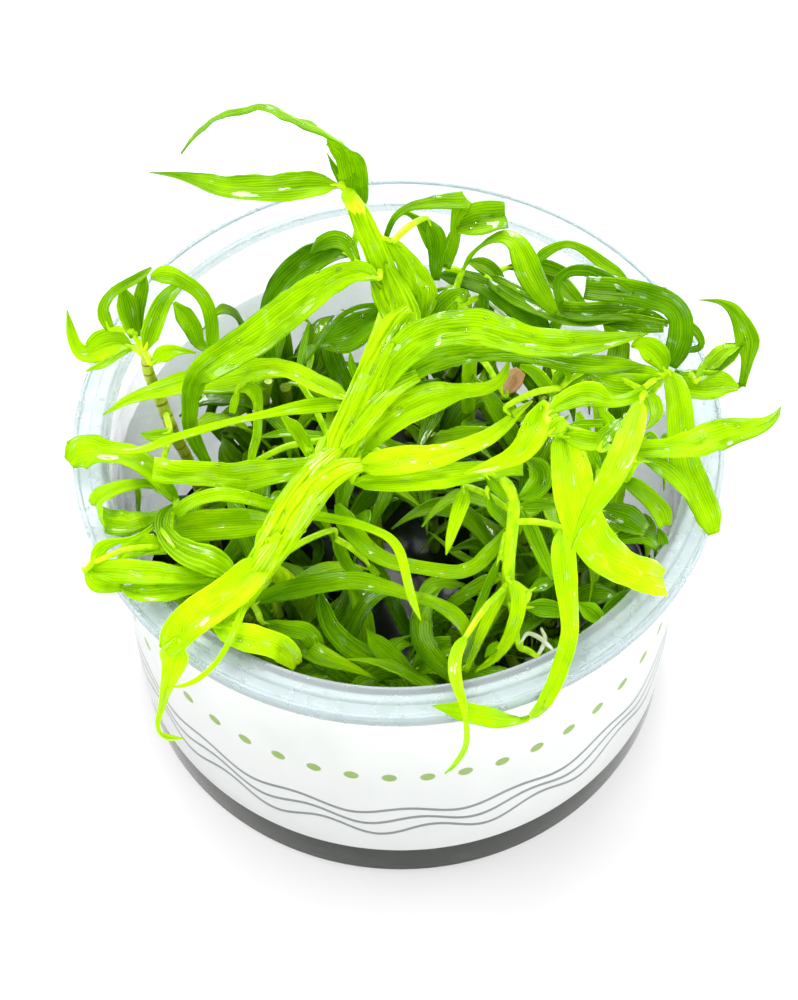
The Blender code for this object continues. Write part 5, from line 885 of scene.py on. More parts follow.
def label_surface():
    """White polypropylene film, printed with plain waves and a row of drops that stand for no maker."""
    made, tree, output = new_surface("white_wrap_film")
    place = put(tree, "ShaderNodeTexCoord").outputs["Object"]
    spot = put(tree, "ShaderNodeSeparateXYZ", {0: place}).outputs
    around = put(tree, MATH, {0: spot[1], 1: spot[0]}, operation="ARCTAN2")
    height = put(tree, MATH, {0: spot[2], 1: 1 / MM}, operation="MULTIPLY")
    mottle = put(tree, NOISE, {"Vector": place, "Scale": 1 / (11.1 * MM), "Detail": 3.0})
    film = put(tree, MIX, {
        0: mottle, 6: linear("#F3F5F4"), 7: linear("#FBFCFB")}, data_type="RGBA").outputs[2]
    for line, swell in enumerate(WAVE_SWELLS):
        phase = put(tree, MATH, {0: around, 1: WAVES_ROUND, 2: 0.7 * line}, operation="MULTIPLY_ADD")
        sine = put(tree, MATH, {0: phase}, operation="SINE")
        crest = put(tree, MATH, {0: sine, 1: swell, 2: WAVE_LOW + WAVE_GAP * line}, operation="MULTIPLY_ADD")
        above = put(tree, MATH, {0: height, 1: crest}, operation="SUBTRACT")
        off = put(tree, MATH, {0: above}, operation="ABSOLUTE")
        mask = put(tree, MAP_RANGE, {
            0: off, "From Min": LINE_EDGE[0], "From Max": LINE_EDGE[1], "To Min": 0.9, "To Max": 0.0})
        film = put(tree, MIX, {0: mask, 6: film, 7: linear("#55605F")}, data_type="RGBA").outputs[2]
    # The shift settles where round the cup the spots fall
    shifted = put(tree, MATH, {0: around, 1: 10.0}, operation="ADD")
    beat = put(tree, MATH, {0: shifted, 1: math.pi / SPOTS_ROUND}, operation="PINGPONG")
    wide = put(tree, MATH, {0: beat, 1: WALL_TOP_RADIUS}, operation="MULTIPLY")
    tall = put(tree, MATH, {0: height, 1: SPOT_HEIGHT}, operation="SUBTRACT")
    squared = put(tree, MATH, {0: wide, 1: wide}, operation="MULTIPLY")
    squared = put(tree, MATH, {0: tall, 1: tall, 2: squared}, operation="MULTIPLY_ADD")
    off = put(tree, MATH, {0: squared}, operation="SQRT")
    mask = put(tree, MAP_RANGE, {
        0: off, "From Min": SPOT_EDGE[0], "From Max": SPOT_EDGE[1], "To Min": 1.0, "To Max": 0.0})
    film = put(tree, MIX, {0: mask, 6: film, 7: linear("#8FB42C")}, data_type="RGBA").outputs[2]
    raised = put(tree, "ShaderNodeBump", {"Strength": 0.08, "Distance": 0.2 * MM, "Height": mottle})
    skin = put(tree, PRINCIPLED, {"Base Color": film, "Roughness": 0.32, "IOR": 1.49, "Normal": raised})
    behind = put(tree, "ShaderNodeBsdfTranslucent", {"Color": linear("#F4F8F6")})
    both = put(tree, "ShaderNodeMixShader", {0: 0.45, 1: skin, 2: behind})
    tree.links.new(both.outputs[0], output.inputs[0])
    return made


def film_back_surface():
    """The back of the same film, which takes no ink: milky white, and light comes through it."""
    made, tree, output = new_surface("white_film_back")
    place = put(tree, "ShaderNodeTexCoord").outputs["Object"]
    mottle = put(tree, NOISE, {"Vector": place, "Scale": 1 / (11.1 * MM), "Detail": 3.0})
    film = put(tree, MIX, {
        0: mottle, 6: linear("#F6F8F7"), 7: linear("#FFFFFF")}, data_type="RGBA").outputs[2]
    skin = put(tree, PRINCIPLED, {"Base Color": film, "Roughness": 0.5, "IOR": 1.49})
    behind = put(tree, "ShaderNodeBsdfTranslucent", {"Color": film})
    both = put(tree, "ShaderNodeMixShader", {0: 0.7, 1: skin, 2: behind})
    tree.links.new(both.outputs[0], output.inputs[0])
    return made


def gel_surface(name, gloss):
    """Agar gel darkened with charcoal, a little cloudy: wet on top, and dull where it lies on the plastic."""
    made, tree, output = new_surface(name)
    place = put(tree, "ShaderNodeTexCoord").outputs["Object"]
    cloud = put(tree, NOISE, {"Vector": place, "Scale": 1 / (9.09 * MM), "Detail": 5.0})
    colour = put(tree, RAMP, {0: cloud}, ((0.3, "#131A0E"), (0.55, "#222B1B"), (0.75, "#3A452F")))
    raised = put(tree, "ShaderNodeBump", {"Strength": 0.15, "Distance": 0.6 * MM, "Height": cloud})
    gel_skin = put(tree, PRINCIPLED, {
        "Base Color": colour, "Roughness": 0.12, "IOR": 1.34, "Specular IOR Level": gloss, "Normal": raised})
    tree.links.new(gel_skin.outputs[0], output.inputs[0])
    return made


def water_surface():
    """Clean water drops left on the wet leaves and the rim."""
    made, tree, output = new_surface("clear_water")
    place = put(tree, "ShaderNodeTexCoord").outputs["Object"]
    ripple = put(tree, NOISE, {"Vector": place, "Scale": 1 / (2.5 * MM), "Detail": 1.0})
    raised = put(tree, "ShaderNodeBump", {"Strength": 0.1, "Distance": 0.1 * MM, "Height": ripple})
    water = put(tree, PRINCIPLED, {
        "Base Color": linear("#FFFFFF"), "Roughness": 0.0, "IOR": 1.333, "Transmission Weight": 1.0,
        "Normal": raised,
    })
    tree.links.new(water.outputs[0], output.inputs[0])
    return made


def root_surface():
    """Young water roots: thin, matt and almost white."""
    made, tree, output = new_surface("pale_root_skin")
    place = put(tree, "ShaderNodeTexCoord").outputs["Object"]
    cloud = put(tree, NOISE, {"Vector": place, "Scale": 1 / (3.33 * MM), "Detail": 2.0})
    colour = put(tree, RAMP, {0: cloud}, ((0.35, "#C9CFA6"), (0.65, "#EDF0DC")))
    skin = put(tree, PRINCIPLED, {"Base Color": colour, "Roughness": 0.4, "IOR": 1.4})
    tree.links.new(skin.outputs[0], output.inputs[0])
    return made


def new_tree(name, sizes):
    """A geometry tree with a named input for each (name, socket kind), and its two end nodes."""
    tree = bpy.data.node_groups.new(name, "GeometryNodeTree")
    tree.interface.new_socket("Geometry", in_out="INPUT", socket_type="NodeSocketGeometry")
    for label, kind in sizes:
        tree.interface.new_socket(label, in_out="INPUT", socket_type="NodeSocket" + kind)
    tree.interface.new_socket("Geometry", in_out="OUTPUT", socket_type="NodeSocketGeometry")
    return tree, put(tree, "NodeGroupInput").outputs, put(tree, "NodeGroupOutput")


def leaf_tree():
    """Spreads a grid that lies on a leaf's middle line into its blade.

    The blade gets a channel with a crease down its middle, pleats, crumples and waved edges. Each of
    these is a share of the half width there, and the thickness comes last.
    """
    tree, sizes, output = new_tree("leaf_blade", (
        ("Channel", "Float"), ("Crease", "Float"), ("Wave Height", "Float"), ("Wave Length", "Float"),
        ("Pleat", "Float"), ("Crumple", "Float"), ("Crumple Length", "Float"), ("Thickness", "Float"),
        ("Seed", "Float"), ("Material", "Material")))
    across, along, half = (
        put(tree, OWN, {"Name": label}, data_type="FLOAT") for label in ("across", "along", "half"))
    side, up = (put(tree, OWN, {"Name": label}, data_type="FLOAT_VECTOR") for label in ("side", "up"))
    squared = put(tree, MATH, {0: across, 1: across}, operation="MULTIPLY")
    channel = put(tree, MATH, {0: squared, 1: sizes["Channel"]}, operation="MULTIPLY")
    from_middle = put(tree, MATH, {0: across}, operation="ABSOLUTE")
    fold = put(tree, MAP_RANGE, {
        0: from_middle, "From Min": 0.0, "From Max": 0.28, "To Min": 1.0, "To Max": 0.0,
    }, interpolation_type="SMOOTHSTEP")
    crease = put(tree, MATH, {0: fold, 1: sizes["Crease"]}, operation="MULTIPLY")
    # Five pleats from edge to edge, which drift sideways along the blade
    drift_run = put(tree, MATH, {0: along, 1: 1 / (DRIFT_LENGTH * MM)}, operation="MULTIPLY")
    drift = put(tree, NOISE, {"W": drift_run, "Scale": 1.0}, noise_dimensions="1D")
    phase = put(tree, MATH, {0: across, 1: 5 * math.pi}, operation="MULTIPLY")
    phase = put(tree, MATH, {0: drift, 1: 5.0, 2: phase}, operation="MULTIPLY_ADD")
    ripple = put(tree, MATH, {0: phase}, operation="COSINE")
    pleat = put(tree, MATH, {0: ripple, 1: sizes["Pleat"]}, operation="MULTIPLY")
    # Sharp creases where a slow noise crosses its middle, longer along the blade than across it
    crumple_run = put(tree, MATH, {0: along, 1: sizes["Crumple Length"]}, operation="DIVIDE")
    crumple_run = put(tree, MATH, {0: crumple_run, 1: 0.45}, operation="MULTIPLY")
    aside = put(tree, MATH, {0: across, 1: half}, operation="MULTIPLY")
    crumple_aside = put(tree, MATH, {0: aside, 1: sizes["Crumple Length"]}, operation="DIVIDE")
    spot = put(tree, "ShaderNodeCombineXYZ", {0: crumple_run, 1: crumple_aside, 2: sizes["Seed"]})
    noise = put(tree, NOISE, {"Vector": spot, "Scale": 1.0, "Detail": 1.0})
    centred = put(tree, MATH, {0: noise, 1: 0.5}, operation="SUBTRACT")
    sharp = put(tree, MATH, {0: centred}, operation="ABSOLUTE")
    crumple = put(tree, MATH, {0: sharp, 1: sizes["Crumple"]}, operation="MULTIPLY")
    # Waves grow from the middle line to the edges
    wave_run = put(tree, MATH, {0: along, 1: sizes["Wave Length"]}, operation="DIVIDE")
    wave_aside = put(tree, MATH, {0: across, 1: 0.55}, operation="MULTIPLY")
    spot = put(tree, "ShaderNodeCombineXYZ", {0: wave_run, 1: wave_aside, 2: sizes["Seed"]})
    noise = put(tree, NOISE, {"Vector": spot, "Scale": 1.0, "Detail": 1.5})
    centred = put(tree, MATH, {0: noise, 1: 0.5}, operation="SUBTRACT")
    wave = put(tree, MATH, {0: centred, 1: sizes["Wave Height"]}, operation="MULTIPLY")
    growth = put(tree, MATH, {0: squared, 1: 0.25}, operation="ADD")
    wave = put(tree, MATH, {0: wave, 1: growth}, operation="MULTIPLY")
    lift = channel
    for operation, change in (("SUBTRACT", crease), ("ADD", pleat), ("SUBTRACT", crumple), ("ADD", wave)):
        lift = put(tree, MATH, {0: lift, 1: change}, operation=operation)
    lift = put(tree, MATH, {0: lift, 1: half}, operation="MULTIPLY")
    outwards = put(tree, VECTOR_MATH, {0: side, "Scale": aside}, operation="SCALE")
    upwards = put(tree, VECTOR_MATH, {0: up, "Scale": lift}, operation="SCALE")
    offset = put(tree, VECTOR_MATH, {0: outwards, 1: upwards}, operation="ADD")
    sheet = put(tree, "GeometryNodeSetPosition", {"Geometry": sizes["Geometry"], "Offset": offset})
    thick = put(tree, "GeometryNodeExtrudeMesh", {
        "Mesh": sheet, "Offset Scale": sizes["Thickness"], "Individual": False}, mode="FACES")
    under = put(tree, "GeometryNodeFlipFaces", {0: sheet})
    margin = put(tree, "GeometryNodeSetShadeSmooth", {
        0: thick, 1: thick.outputs["Side"], "Shade Smooth": False})
    joined = put(tree, "GeometryNodeJoinGeometry", {0: margin})
    tree.links.new(under.outputs[0], joined.inputs[0])
    closed = put(tree, "GeometryNodeMergeByDistance", {0: joined, "Distance": 1e-7})
    real = put(tree, "GeometryNodeRealizeInstances", {0: closed})
    done = put(tree, "GeometryNodeSetMaterial", {0: real, "Material": sizes["Material"]})
    tree.links.new(done.outputs[0], output.inputs[0])
    return tree


def stem_tree():
    """Wraps a round stem about a line of edges, with a swollen joint at each Joint Gap."""
    tree, sizes, output = new_tree("jointed_stem", (
        ("Joint Gap", "Float"), ("Joint Width", "Float"), ("Joint Swell", "Float"), ("Sides", "Int"),
        ("Material", "Material")))
    line = put(tree, "GeometryNodeMeshToCurve", {0: sizes["Geometry"]})
    run = put(tree, "GeometryNodeSplineParameter").outputs["Length"]
    kept = put(tree, "GeometryNodeStoreNamedAttribute", {"Geometry": line, "Name": "along", "Value": run},
               data_type="FLOAT", domain="POINT")
    along, radius = (put(tree, OWN, {"Name": label}, data_type="FLOAT") for label in ("along", "radius_here"))
    beat = put(tree, MATH, {0: sizes["Joint Gap"], 1: 0.5}, operation="MULTIPLY")
    from_joint = put(tree, MATH, {0: along, 1: beat}, operation="PINGPONG")
    swell = put(tree, MAP_RANGE, {
        0: from_joint, "From Min": 0.0, "From Max": sizes["Joint Width"], "To Min": sizes["Joint Swell"],
        "To Max": 0.0,
    }, interpolation_type="SMOOTHSTEP")
    wide = put(tree, MATH, {0: radius, 1: swell, 2: radius}, operation="MULTIPLY_ADD")
    ring = put(tree, "GeometryNodeCurvePrimitiveCircle", {"Resolution": sizes["Sides"], "Radius": 1.0})
    tube = put(tree, "GeometryNodeCurveToMesh", {
        "Curve": kept, "Profile Curve": ring, "Scale": wide, "Fill Caps": True})
    real = put(tree, "GeometryNodeRealizeInstances", {0: tube})
    done = put(tree, "GeometryNodeSetMaterial", {0: real, "Material": sizes["Material"]})
    tree.links.new(done.outputs[0], output.inputs[0])
    return tree


def drop_tree():
    """Sets low round drops on a surface wherever it faces up."""
    tree, sizes, output = new_tree("water_drops", (
        ("Density", "Float"), ("Least Radius", "Float"), ("Largest Radius", "Float"), ("Flatness", "Float"),
        ("Facing Up", "Float"), ("Seed", "Int"), ("Material", "Material")))
    facing = put(tree, "ShaderNodeSeparateXYZ", {0: put(tree, "GeometryNodeInputNormal")})
    chosen = put(tree, "FunctionNodeCompare", {0: facing.outputs[2], 1: sizes["Facing Up"]},
                 data_type="FLOAT", operation="GREATER_THAN")
    spots = put(tree, "GeometryNodeDistributePointsOnFaces", {
        "Mesh": sizes["Geometry"], "Selection": chosen, "Density": sizes["Density"], "Seed": sizes["Seed"]})
    chance = put(tree, "FunctionNodeRandomValue", {2: 0.0, 3: 1.0, "Seed": sizes["Seed"]}, data_type="FLOAT")
    # The cube leaves most drops small
    small = put(tree, MATH, {0: chance.outputs[1], 1: 3.0}, operation="POWER")
    size = put(tree, MAP_RANGE, {
        0: small, "To Min": sizes["Least Radius"], "To Max": sizes["Largest Radius"]})
    low = put(tree, MATH, {0: size, 1: sizes["Flatness"]}, operation="MULTIPLY")
    flat = put(tree, "ShaderNodeCombineXYZ", {0: size, 1: size, 2: low})
    ball = put(tree, "GeometryNodeMeshUVSphere", {"Segments": 8, "Rings": 5, "Radius": 1.0})
    set_out = put(tree, "GeometryNodeInstanceOnPoints", {
        "Points": spots, "Instance": ball, "Rotation": spots.outputs["Rotation"], "Scale": flat})
    real = put(tree, "GeometryNodeRealizeInstances", {0: set_out})
    smooth = put(tree, "GeometryNodeSetShadeSmooth", {0: real})
    done = put(tree, "GeometryNodeSetMaterial", {0: smooth, "Material": sizes["Material"]})
    tree.links.new(done.outputs[0], output.inputs[0])
    return tree


def placed(name, data):
    """An object of this name for a mesh, lamp or camera, in the scene."""
    made = bpy.data.objects.new(name, data)
    bpy.context.scene.collection.objects.link(made)
    return made


def grow(name, mesh, tree, sizes):
    """Runs a mesh through a tree once, and keeps the result as one plain object of that name."""
    piece = placed(name, mesh)
    step = piece.modifiers.new("grow", "NODES")
    step.node_group = tree
    for item in tree.interface.items_tree:
        if item.in_out == "INPUT" and item.name in sizes:
            step[item.identifier] = sizes[item.name]
    graph = bpy.context.evaluated_depsgraph_get()
    made = bpy.data.meshes.new_from_object(
        piece.evaluated_get(graph), preserve_all_data_layers=True, depsgraph=graph)
    piece.modifiers.remove(step)
    piece.data = made
    made.name = name
    bpy.data.meshes.remove(mesh)
    for spent in ("side", "up", "half", "across", "radius_here"):
        if spent in made.attributes:
            made.attributes.remove(made.attributes[spent])
    return piece


def finish_piece(piece, slot, *nodes):
    """The piece rides on the one body and stands for its nodes; its slot is not used."""
    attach(piece, "root")
    if nodes:
        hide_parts(*nodes)
    return piece


def seen(across, down, height):
    """The point at this height, in millimetres, that the standing viewpoint sees at (across, down)."""
    turned_x = across - VIEW_MIDDLE[0]
    turned_y = down - VIEW_MIDDLE[1]
    x = math.cos(VIEW_TILT) * turned_x + math.sin(VIEW_TILT) * turned_y
    y = math.cos(VIEW_TILT) * turned_y - math.sin(VIEW_TILT) * turned_x
    sight = Vector((x, 0.0, 0.0)) + VIEW_DOWN * y - VIEW_BACK * VIEW_FOCUS
    return VIEW_EYE + sight * ((height - VIEW_EYE.z) / sight.z)


def smooth_rows(rows, count):
    """Reads count rows from the smooth curve through equal-length rows of numbers."""
    rows = np.array(rows, float)
    rows = np.vstack([2 * rows[0] - rows[1], rows, 2 * rows[-1] - rows[-2]])
    where = np.linspace(0, len(rows) - 3, count)
    at = np.minimum(where.astype(int), len(rows) - 4)
    t = (where - at)[:, None]
    a, b, c, d = rows[at], rows[at + 1], rows[at + 2], rows[at + 3]
    bend, rest = 2 * a - 5 * b + 4 * c - d, 3 * b - a - 3 * c + d
    return 0.5 * (2 * b + (c - a) * t + bend * t * t + rest * t ** 3)


def unit(vectors):
    """Each row of vectors at length 1."""
    return vectors / np.maximum(np.linalg.norm(vectors, axis=1, keepdims=True), 1e-9)


def run_along(points):
    """How far along a path each of its points lies."""
    return np.concatenate([[0], np.cumsum(np.linalg.norm(np.diff(points, axis=0), axis=1))])


def placed_rows(rows):
    """Rows of across, down, height and more as rows of x, y, z and more, in millimetres."""
    return [(*seen(*row[:3]), *row[3:]) for row in rows]


def seen_spine(rows, square=False):
    """A leaf's middle line with its side, its upper direction and its half width at each station.

    Its foot draws in to the stem, unless the leaf was cut off square.
    """
    table = placed_rows(rows)
    samples = smooth_rows(table, max(12, int(run_along(np.array(table)[:, :3])[-1] / STATION_STEP)))
    points = samples[:, :3]
    ahead = unit(np.gradient(points, axis=0))
    sideways = unit(np.cross(ahead, unit(np.array(VIEW_EYE) - points)))
    towards = np.cross(sideways, ahead)
    turn = np.radians(samples[:, 4])[:, None]
    side = sideways * np.cos(turn) + towards * np.sin(turn)
    up = towards * np.cos(turn) - sideways * np.sin(turn)
    # A turned blade is wider than it looks, up to the limit where it is seen from its edge
    half = np.maximum(samples[:, 3], LEAST_WIDTH) / 2 / np.maximum(np.abs(np.cos(turn[:, 0])), LEAST_COSINE)
    if not square:
        half = half * np.clip(0.25 + run_along(points) / FOOT_LENGTH, 0.0, 1.0) ** 0.7
    return points, side, up, half


def keep_in_cup(points):
    """Bends what would pass through the wall up along its inside, and keeps it off the gel."""
    inside = WALL_FOOT_RADIUS - WALL_THICKNESS - WALL_CLEARANCE
    points = points.copy()
    out = np.hypot(points[:, 0], points[:, 1])
    beyond = np.maximum(out - inside, 0.0)
    share = np.where(out > inside, inside / np.maximum(out, 1e-6), 1.0)
    points[:, :2] *= share[:, None]
    points[:, 2] = np.maximum(points[:, 2] + beyond * 0.5, GEL_TOP + GEL_CLEARANCE)
    return points


def arched_spine(start, heading, reach, rise, droop, width, sway=0.0, twist=0.0):
    """A low leaf's middle line: it leaves the stem on its heading, rises and droops at its tip."""
    count = max(10, int((reach + rise) / LOW_STATION_STEP))
    t = np.linspace(0, 1, count)[:, None]
    out = np.array((math.cos(math.radians(heading)), math.sin(math.radians(heading)), 0.0))
    aside = np.array((-out[1], out[0], 0.0))
    points = np.array(start) + out * reach * t + aside * sway * np.sin(np.pi * t)
    points = keep_in_cup(points + np.array((0, 0, 1.0)) * (rise * (2 * t - t * t) - droop * t ** 3))
    ahead = unit(np.gradient(points, axis=0))
    up = unit(np.cross(ahead, np.repeat(aside[None], count, 0)))
    turn = np.radians(twist) * t
    side = unit(np.cross(up, ahead))
    up, side = up * np.cos(turn) + side * np.sin(turn), side * np.cos(turn) - up * np.sin(turn)
    half = width / 2 * np.clip(np.minimum(0.45 + 1.6 * t, 2.6 * (1 - t)), 0.05, 1.0)[:, 0]
    return points, side, up, half


def blade_grid(name, spines, tones, columns):
    """One grid for all of a leaf's blades, lying on their middle lines, with what the leaf tree reads.

    tones is one (base, tip) pair for all the blades, or a list with a pair for each.
    """
    kinds = {
        "side": "FLOAT_VECTOR", "up": "FLOAT_VECTOR", "half": "FLOAT", "across": "FLOAT", "along": "FLOAT",
        "tone": "FLOAT"}
    points, faces, maps, data = [], [], [], {key: [] for key in kinds}
    shares = np.linspace(-1, 1, columns)
    first = 0
    for number, (line, side, up, half) in enumerate(spines):
        count = len(line)
        run = run_along(line)
        base, tip = tones[number] if isinstance(tones, list) else tones
        across, along = np.tile(shares, count), np.repeat(run + BLADE_GAP * number, columns)
        points.append(np.repeat(line, columns, 0) * MM)
        data["side"].append(np.repeat(side, columns, 0))
        data["up"].append(np.repeat(up, columns, 0))
        data["half"].append(np.repeat(half, columns) * MM)
        data["across"].append(across)
        data["along"].append(along * MM)
        data["tone"].append(np.repeat(base + (tip - base) * run / max(run[-1], 1e-6), columns))
        maps.append(np.stack([across * half.max(), along], 1))
        corner = np.arange(count - 1)[:, None] * columns + np.arange(columns - 1)[None]
        corner = corner.reshape(-1) + first
        faces.append(np.stack([corner, corner + 1, corner + columns + 1, corner + columns], 1))
        first += count * columns
    faces, maps = np.concatenate(faces), np.concatenate(maps)
    mesh = bpy.data.meshes.new(name)
    mesh.from_pydata(np.concatenate(points).tolist(), [], faces.tolist())
    for key, kind in kinds.items():
        values = np.concatenate(data[key]).astype(np.float32)
        field = "vector" if kind == "FLOAT_VECTOR" else "value"
        mesh.attributes.new(key, kind, "POINT").data.foreach_set(field, values.reshape(-1))
    layer = mesh.uv_layers.new(name="Blade")
    layer.data.foreach_set("uv", maps[faces.reshape(-1)].astype(np.float32).reshape(-1))
    mesh.shade_smooth()
    return mesh


def grown_leaf(name, spines, tones, surface, slot, *nodes, seed=0.0, columns=11, channel=0.16, wave=0.8,
               crease=0.16, pleat=0.03, crumple=1.5):
    """A leaf or a group of leaves, grown from its middle lines."""
    sizes = {"Channel": channel, "Crease": crease, "Wave Height": wave, "Wave Length": WAVE_LENGTH * MM,
             "Pleat": pleat, "Crumple": crumple, "Crumple Length": CRUMPLE_LENGTH * MM,
             "Thickness": LEAF_THICKNESS * MM, "Seed": float(seed), "Material": surface}
    return finish_piece(grow(name, blade_grid(name, spines, tones, columns), LEAF_TREE, sizes), slot, *nodes)


def stem_line(name, lines):
    """Chains of edges with a radius at each point, from rows of (x, y, z, thickness) in millimetres."""
    points, edges, radii = [], [], []
    for rows in lines:
        first = len(points)
        points += [tuple(row[:3] * MM) for row in rows]
        radii += [row[3] / 2 * MM for row in rows]
        edges += [(first + k, first + k + 1) for k in range(len(rows) - 1)]
    mesh = bpy.data.meshes.new(name)
    mesh.from_pydata(points, edges, [])
    radii_here = mesh.attributes.new("radius_here", "FLOAT", "POINT")
    radii_here.data.foreach_set("value", np.array(radii, np.float32))
    return mesh


def stem_rows(foot, rows):
    """A stem's rows from its foot in the gel up through what is seen of it, as in the model."""
    width = rows[0][3]
    table = [(*foot, GEL_TOP + 0.3, width)]
    for share in (0.35, 0.7):
        spot = Vector((*foot, GEL_TOP)).lerp(seen(*rows[0][:3]), share)
        table.append((*Vector((*foot, spot.z)).lerp(spot, share), width))
    table += placed_rows(rows)
    count = max(16, int(run_along(np.array(table)[:, :3])[-1] / STEM_STEP))
    made = smooth_rows(table, count)
    # The stem's own tip draws in to a bud between its last leaves
    made[:, 3] *= np.clip(np.arange(count)[::-1] / 5 + 0.12, 0.0, 1.0) ** 0.6
    return made


def grown_stem(name, lines, surface, slot, *nodes, joint_gap=14.0, joint_width=1.2, swell=0.16, sides=16):
    """A stem or a group of stems, grown round its rows."""
    sizes = {"Joint Gap": joint_gap * MM, "Joint Width": joint_width * MM, "Joint Swell": swell,
             "Sides": sides, "Material": surface}
    piece = grow(name, stem_line(name, lines), STEM_TREE, sizes)
    piece.data.shade_smooth()
    return finish_piece(piece, slot, *nodes)


def solid_of(name, mesh, sharp_degrees, *surfaces):
    """The object that a closed bmesh makes, smooth but for its edges sharper than this angle."""
    bmesh.ops.recalc_face_normals(mesh, faces=mesh.faces)
    data = bpy.data.meshes.new(name)
    mesh.to_mesh(data)
    mesh.free()
    for surface in surfaces:
        data.materials.append(surface)
    data.shade_smooth()
    data.set_sharp_from_angle(angle=math.radians(sharp_degrees))
    return placed(name, data)


def turned(name, profile, segments, *surfaces):
    """A closed round body: a loop of (radius, height) points in millimetres turned about the Z axis."""
    rings = []
    mesh = bmesh.new()
    for r, z in profile:
        if r < 1e-6:
            rings.append([mesh.verts.new((0, 0, z * MM))])
            continue
        ring = []
        for k in range(segments):
            angle = 2 * math.pi * k / segments
            ring.append(mesh.verts.new((r * MM * math.cos(angle), r * MM * math.sin(angle), z * MM)))
        rings.append(ring)
    for low, high in zip(rings, rings[1:]):
        for k in range(segments):
            n = (k + 1) % segments
            if len(low) == 1:
                mesh.faces.new((low[0], high[n], high[k]))
            elif len(high) == 1:
                mesh.faces.new((low[k], low[n], high[0]))
            else:
                mesh.faces.new((low[k], low[n], high[n], high[k]))
    return solid_of(name, mesh, 38, *surfaces)


def wall_radius(height):
    """The cup wall's outer radius at this height."""
    return WALL_FOOT_RADIUS + (WALL_TOP_RADIUS - WALL_FOOT_RADIUS) * height / CUP_HEIGHT


def cup_profile():
    """The cup's cut section from the middle of its underside, out and up to the rim, and down the inside."""
    points = [(0, 0.5), (36.5, 0.5), (38.0, 0.0), (44.0, 0.0)]
    for k in range(1, 7):
        angle = math.pi / 2 * k / 6
        inwards, upwards = FOOT_CORNER * (1 - math.sin(angle)), FOOT_CORNER * (1 - math.cos(angle))
        points.append((WALL_FOOT_RADIUS - inwards, upwards))
    points += [(wall_radius(z), z) for z in (8, 20, 34, 48, 58, 62.8)]
    # Flange: flat underneath, a short skirt, a rounded lip, then two flat bands with a low step between
    points += [(wall_radius(63.6) + 0.5, 63.6), (50.2, 63.7), (50.95, 63.5), (51.1, 62.6), (51.3, 62.4),
               (51.7, 62.4), (51.95, 62.7), (RIM_RADIUS, 63.5), (51.95, 64.4), (51.75, 64.75), (51.4, 64.85),
               (51.15, 64.75), (51.0, 64.6), (50.2, 64.57), (49.4, 64.6), (49.2, 64.78), (48.9, 64.83),
               (48.6, 64.78), (48.0, 64.74), (47.4, 64.78), (47.1, 64.95), (46.8, 65.0), (46.45, 64.92),
               (46.2, 64.6), (46.05, 63.6)]
    points += [(wall_radius(z) - WALL_THICKNESS, z) for z in (58, 48, 34, 20, 8, 2.4)]
    for k in range(1, 6):
        angle = math.pi / 2 * k / 5
        points.append((44.95 - 1.1 * (1 - math.cos(angle)), CUP_FLOOR + 1.1 * (1 - math.sin(angle))))
    return points + [(0, CUP_FLOOR)]


def gel_profile():
    """The gel: it follows the cup's foot inside, and its surface creeps up a little at the wall."""
    inner = wall_radius(6) - WALL_THICKNESS + 0.15
    points = [(0, GEL_FOOT)]
    for k in range(6):
        angle = math.pi / 2 * k / 5
        points.append((inner - 1.2 * (1 - math.sin(angle)), GEL_FOOT + 1.1 * (1 - math.cos(angle))))
    return points + [
        (inner, 6), (inner + 0.05, GEL_TOP + 0.9), (inner - 0.4, GEL_TOP + 0.5),
        (inner - 1.4, GEL_TOP + 0.15), (inner - 3.5, GEL_TOP), (20, GEL_TOP - 0.1), (0, GEL_TOP)]


def make_label(name, *surfaces):
    """The wrap film: a thin band close round the wall, with a narrow gap behind where its ends meet."""
    mesh = bmesh.new()
    steps, rings = 180, []
    for k in range(steps + 1):
        angle = math.pi / 2 + LABEL_SEAM / 2 + (2 * math.pi - LABEL_SEAM) * k / steps
        askew = -LABEL_TILT * math.sin(angle)
        low, high = LABEL_LOW + 0.4 * askew, LABEL_HIGH + askew
        ring = []
        for height, lift in ((low, 0.06), (low, 0.26), (low + 0.2, 0.32), (high - 0.2, 0.32), (high, 0.26),
                             (high, 0.06)):
            r = (wall_radius(height) + lift) * MM
            ring.append(mesh.verts.new((r * math.cos(angle), r * math.sin(angle), height * MM)))
        rings.append(ring)
    for first, second in zip(rings, rings[1:]):
        for k in range(6):
            n = (k + 1) % 6
            mesh.faces.new((first[k], first[n], second[n], second[k]))
    mesh.faces.new(rings[0][::-1])
    mesh.faces.new(rings[-1])
    label = solid_of(name, mesh, 35, *surfaces)
    for face in label.data.polygons:
        face.material_index = int(face.normal.dot(face.center * Vector((1, 1, 0))) < 0)
    return label


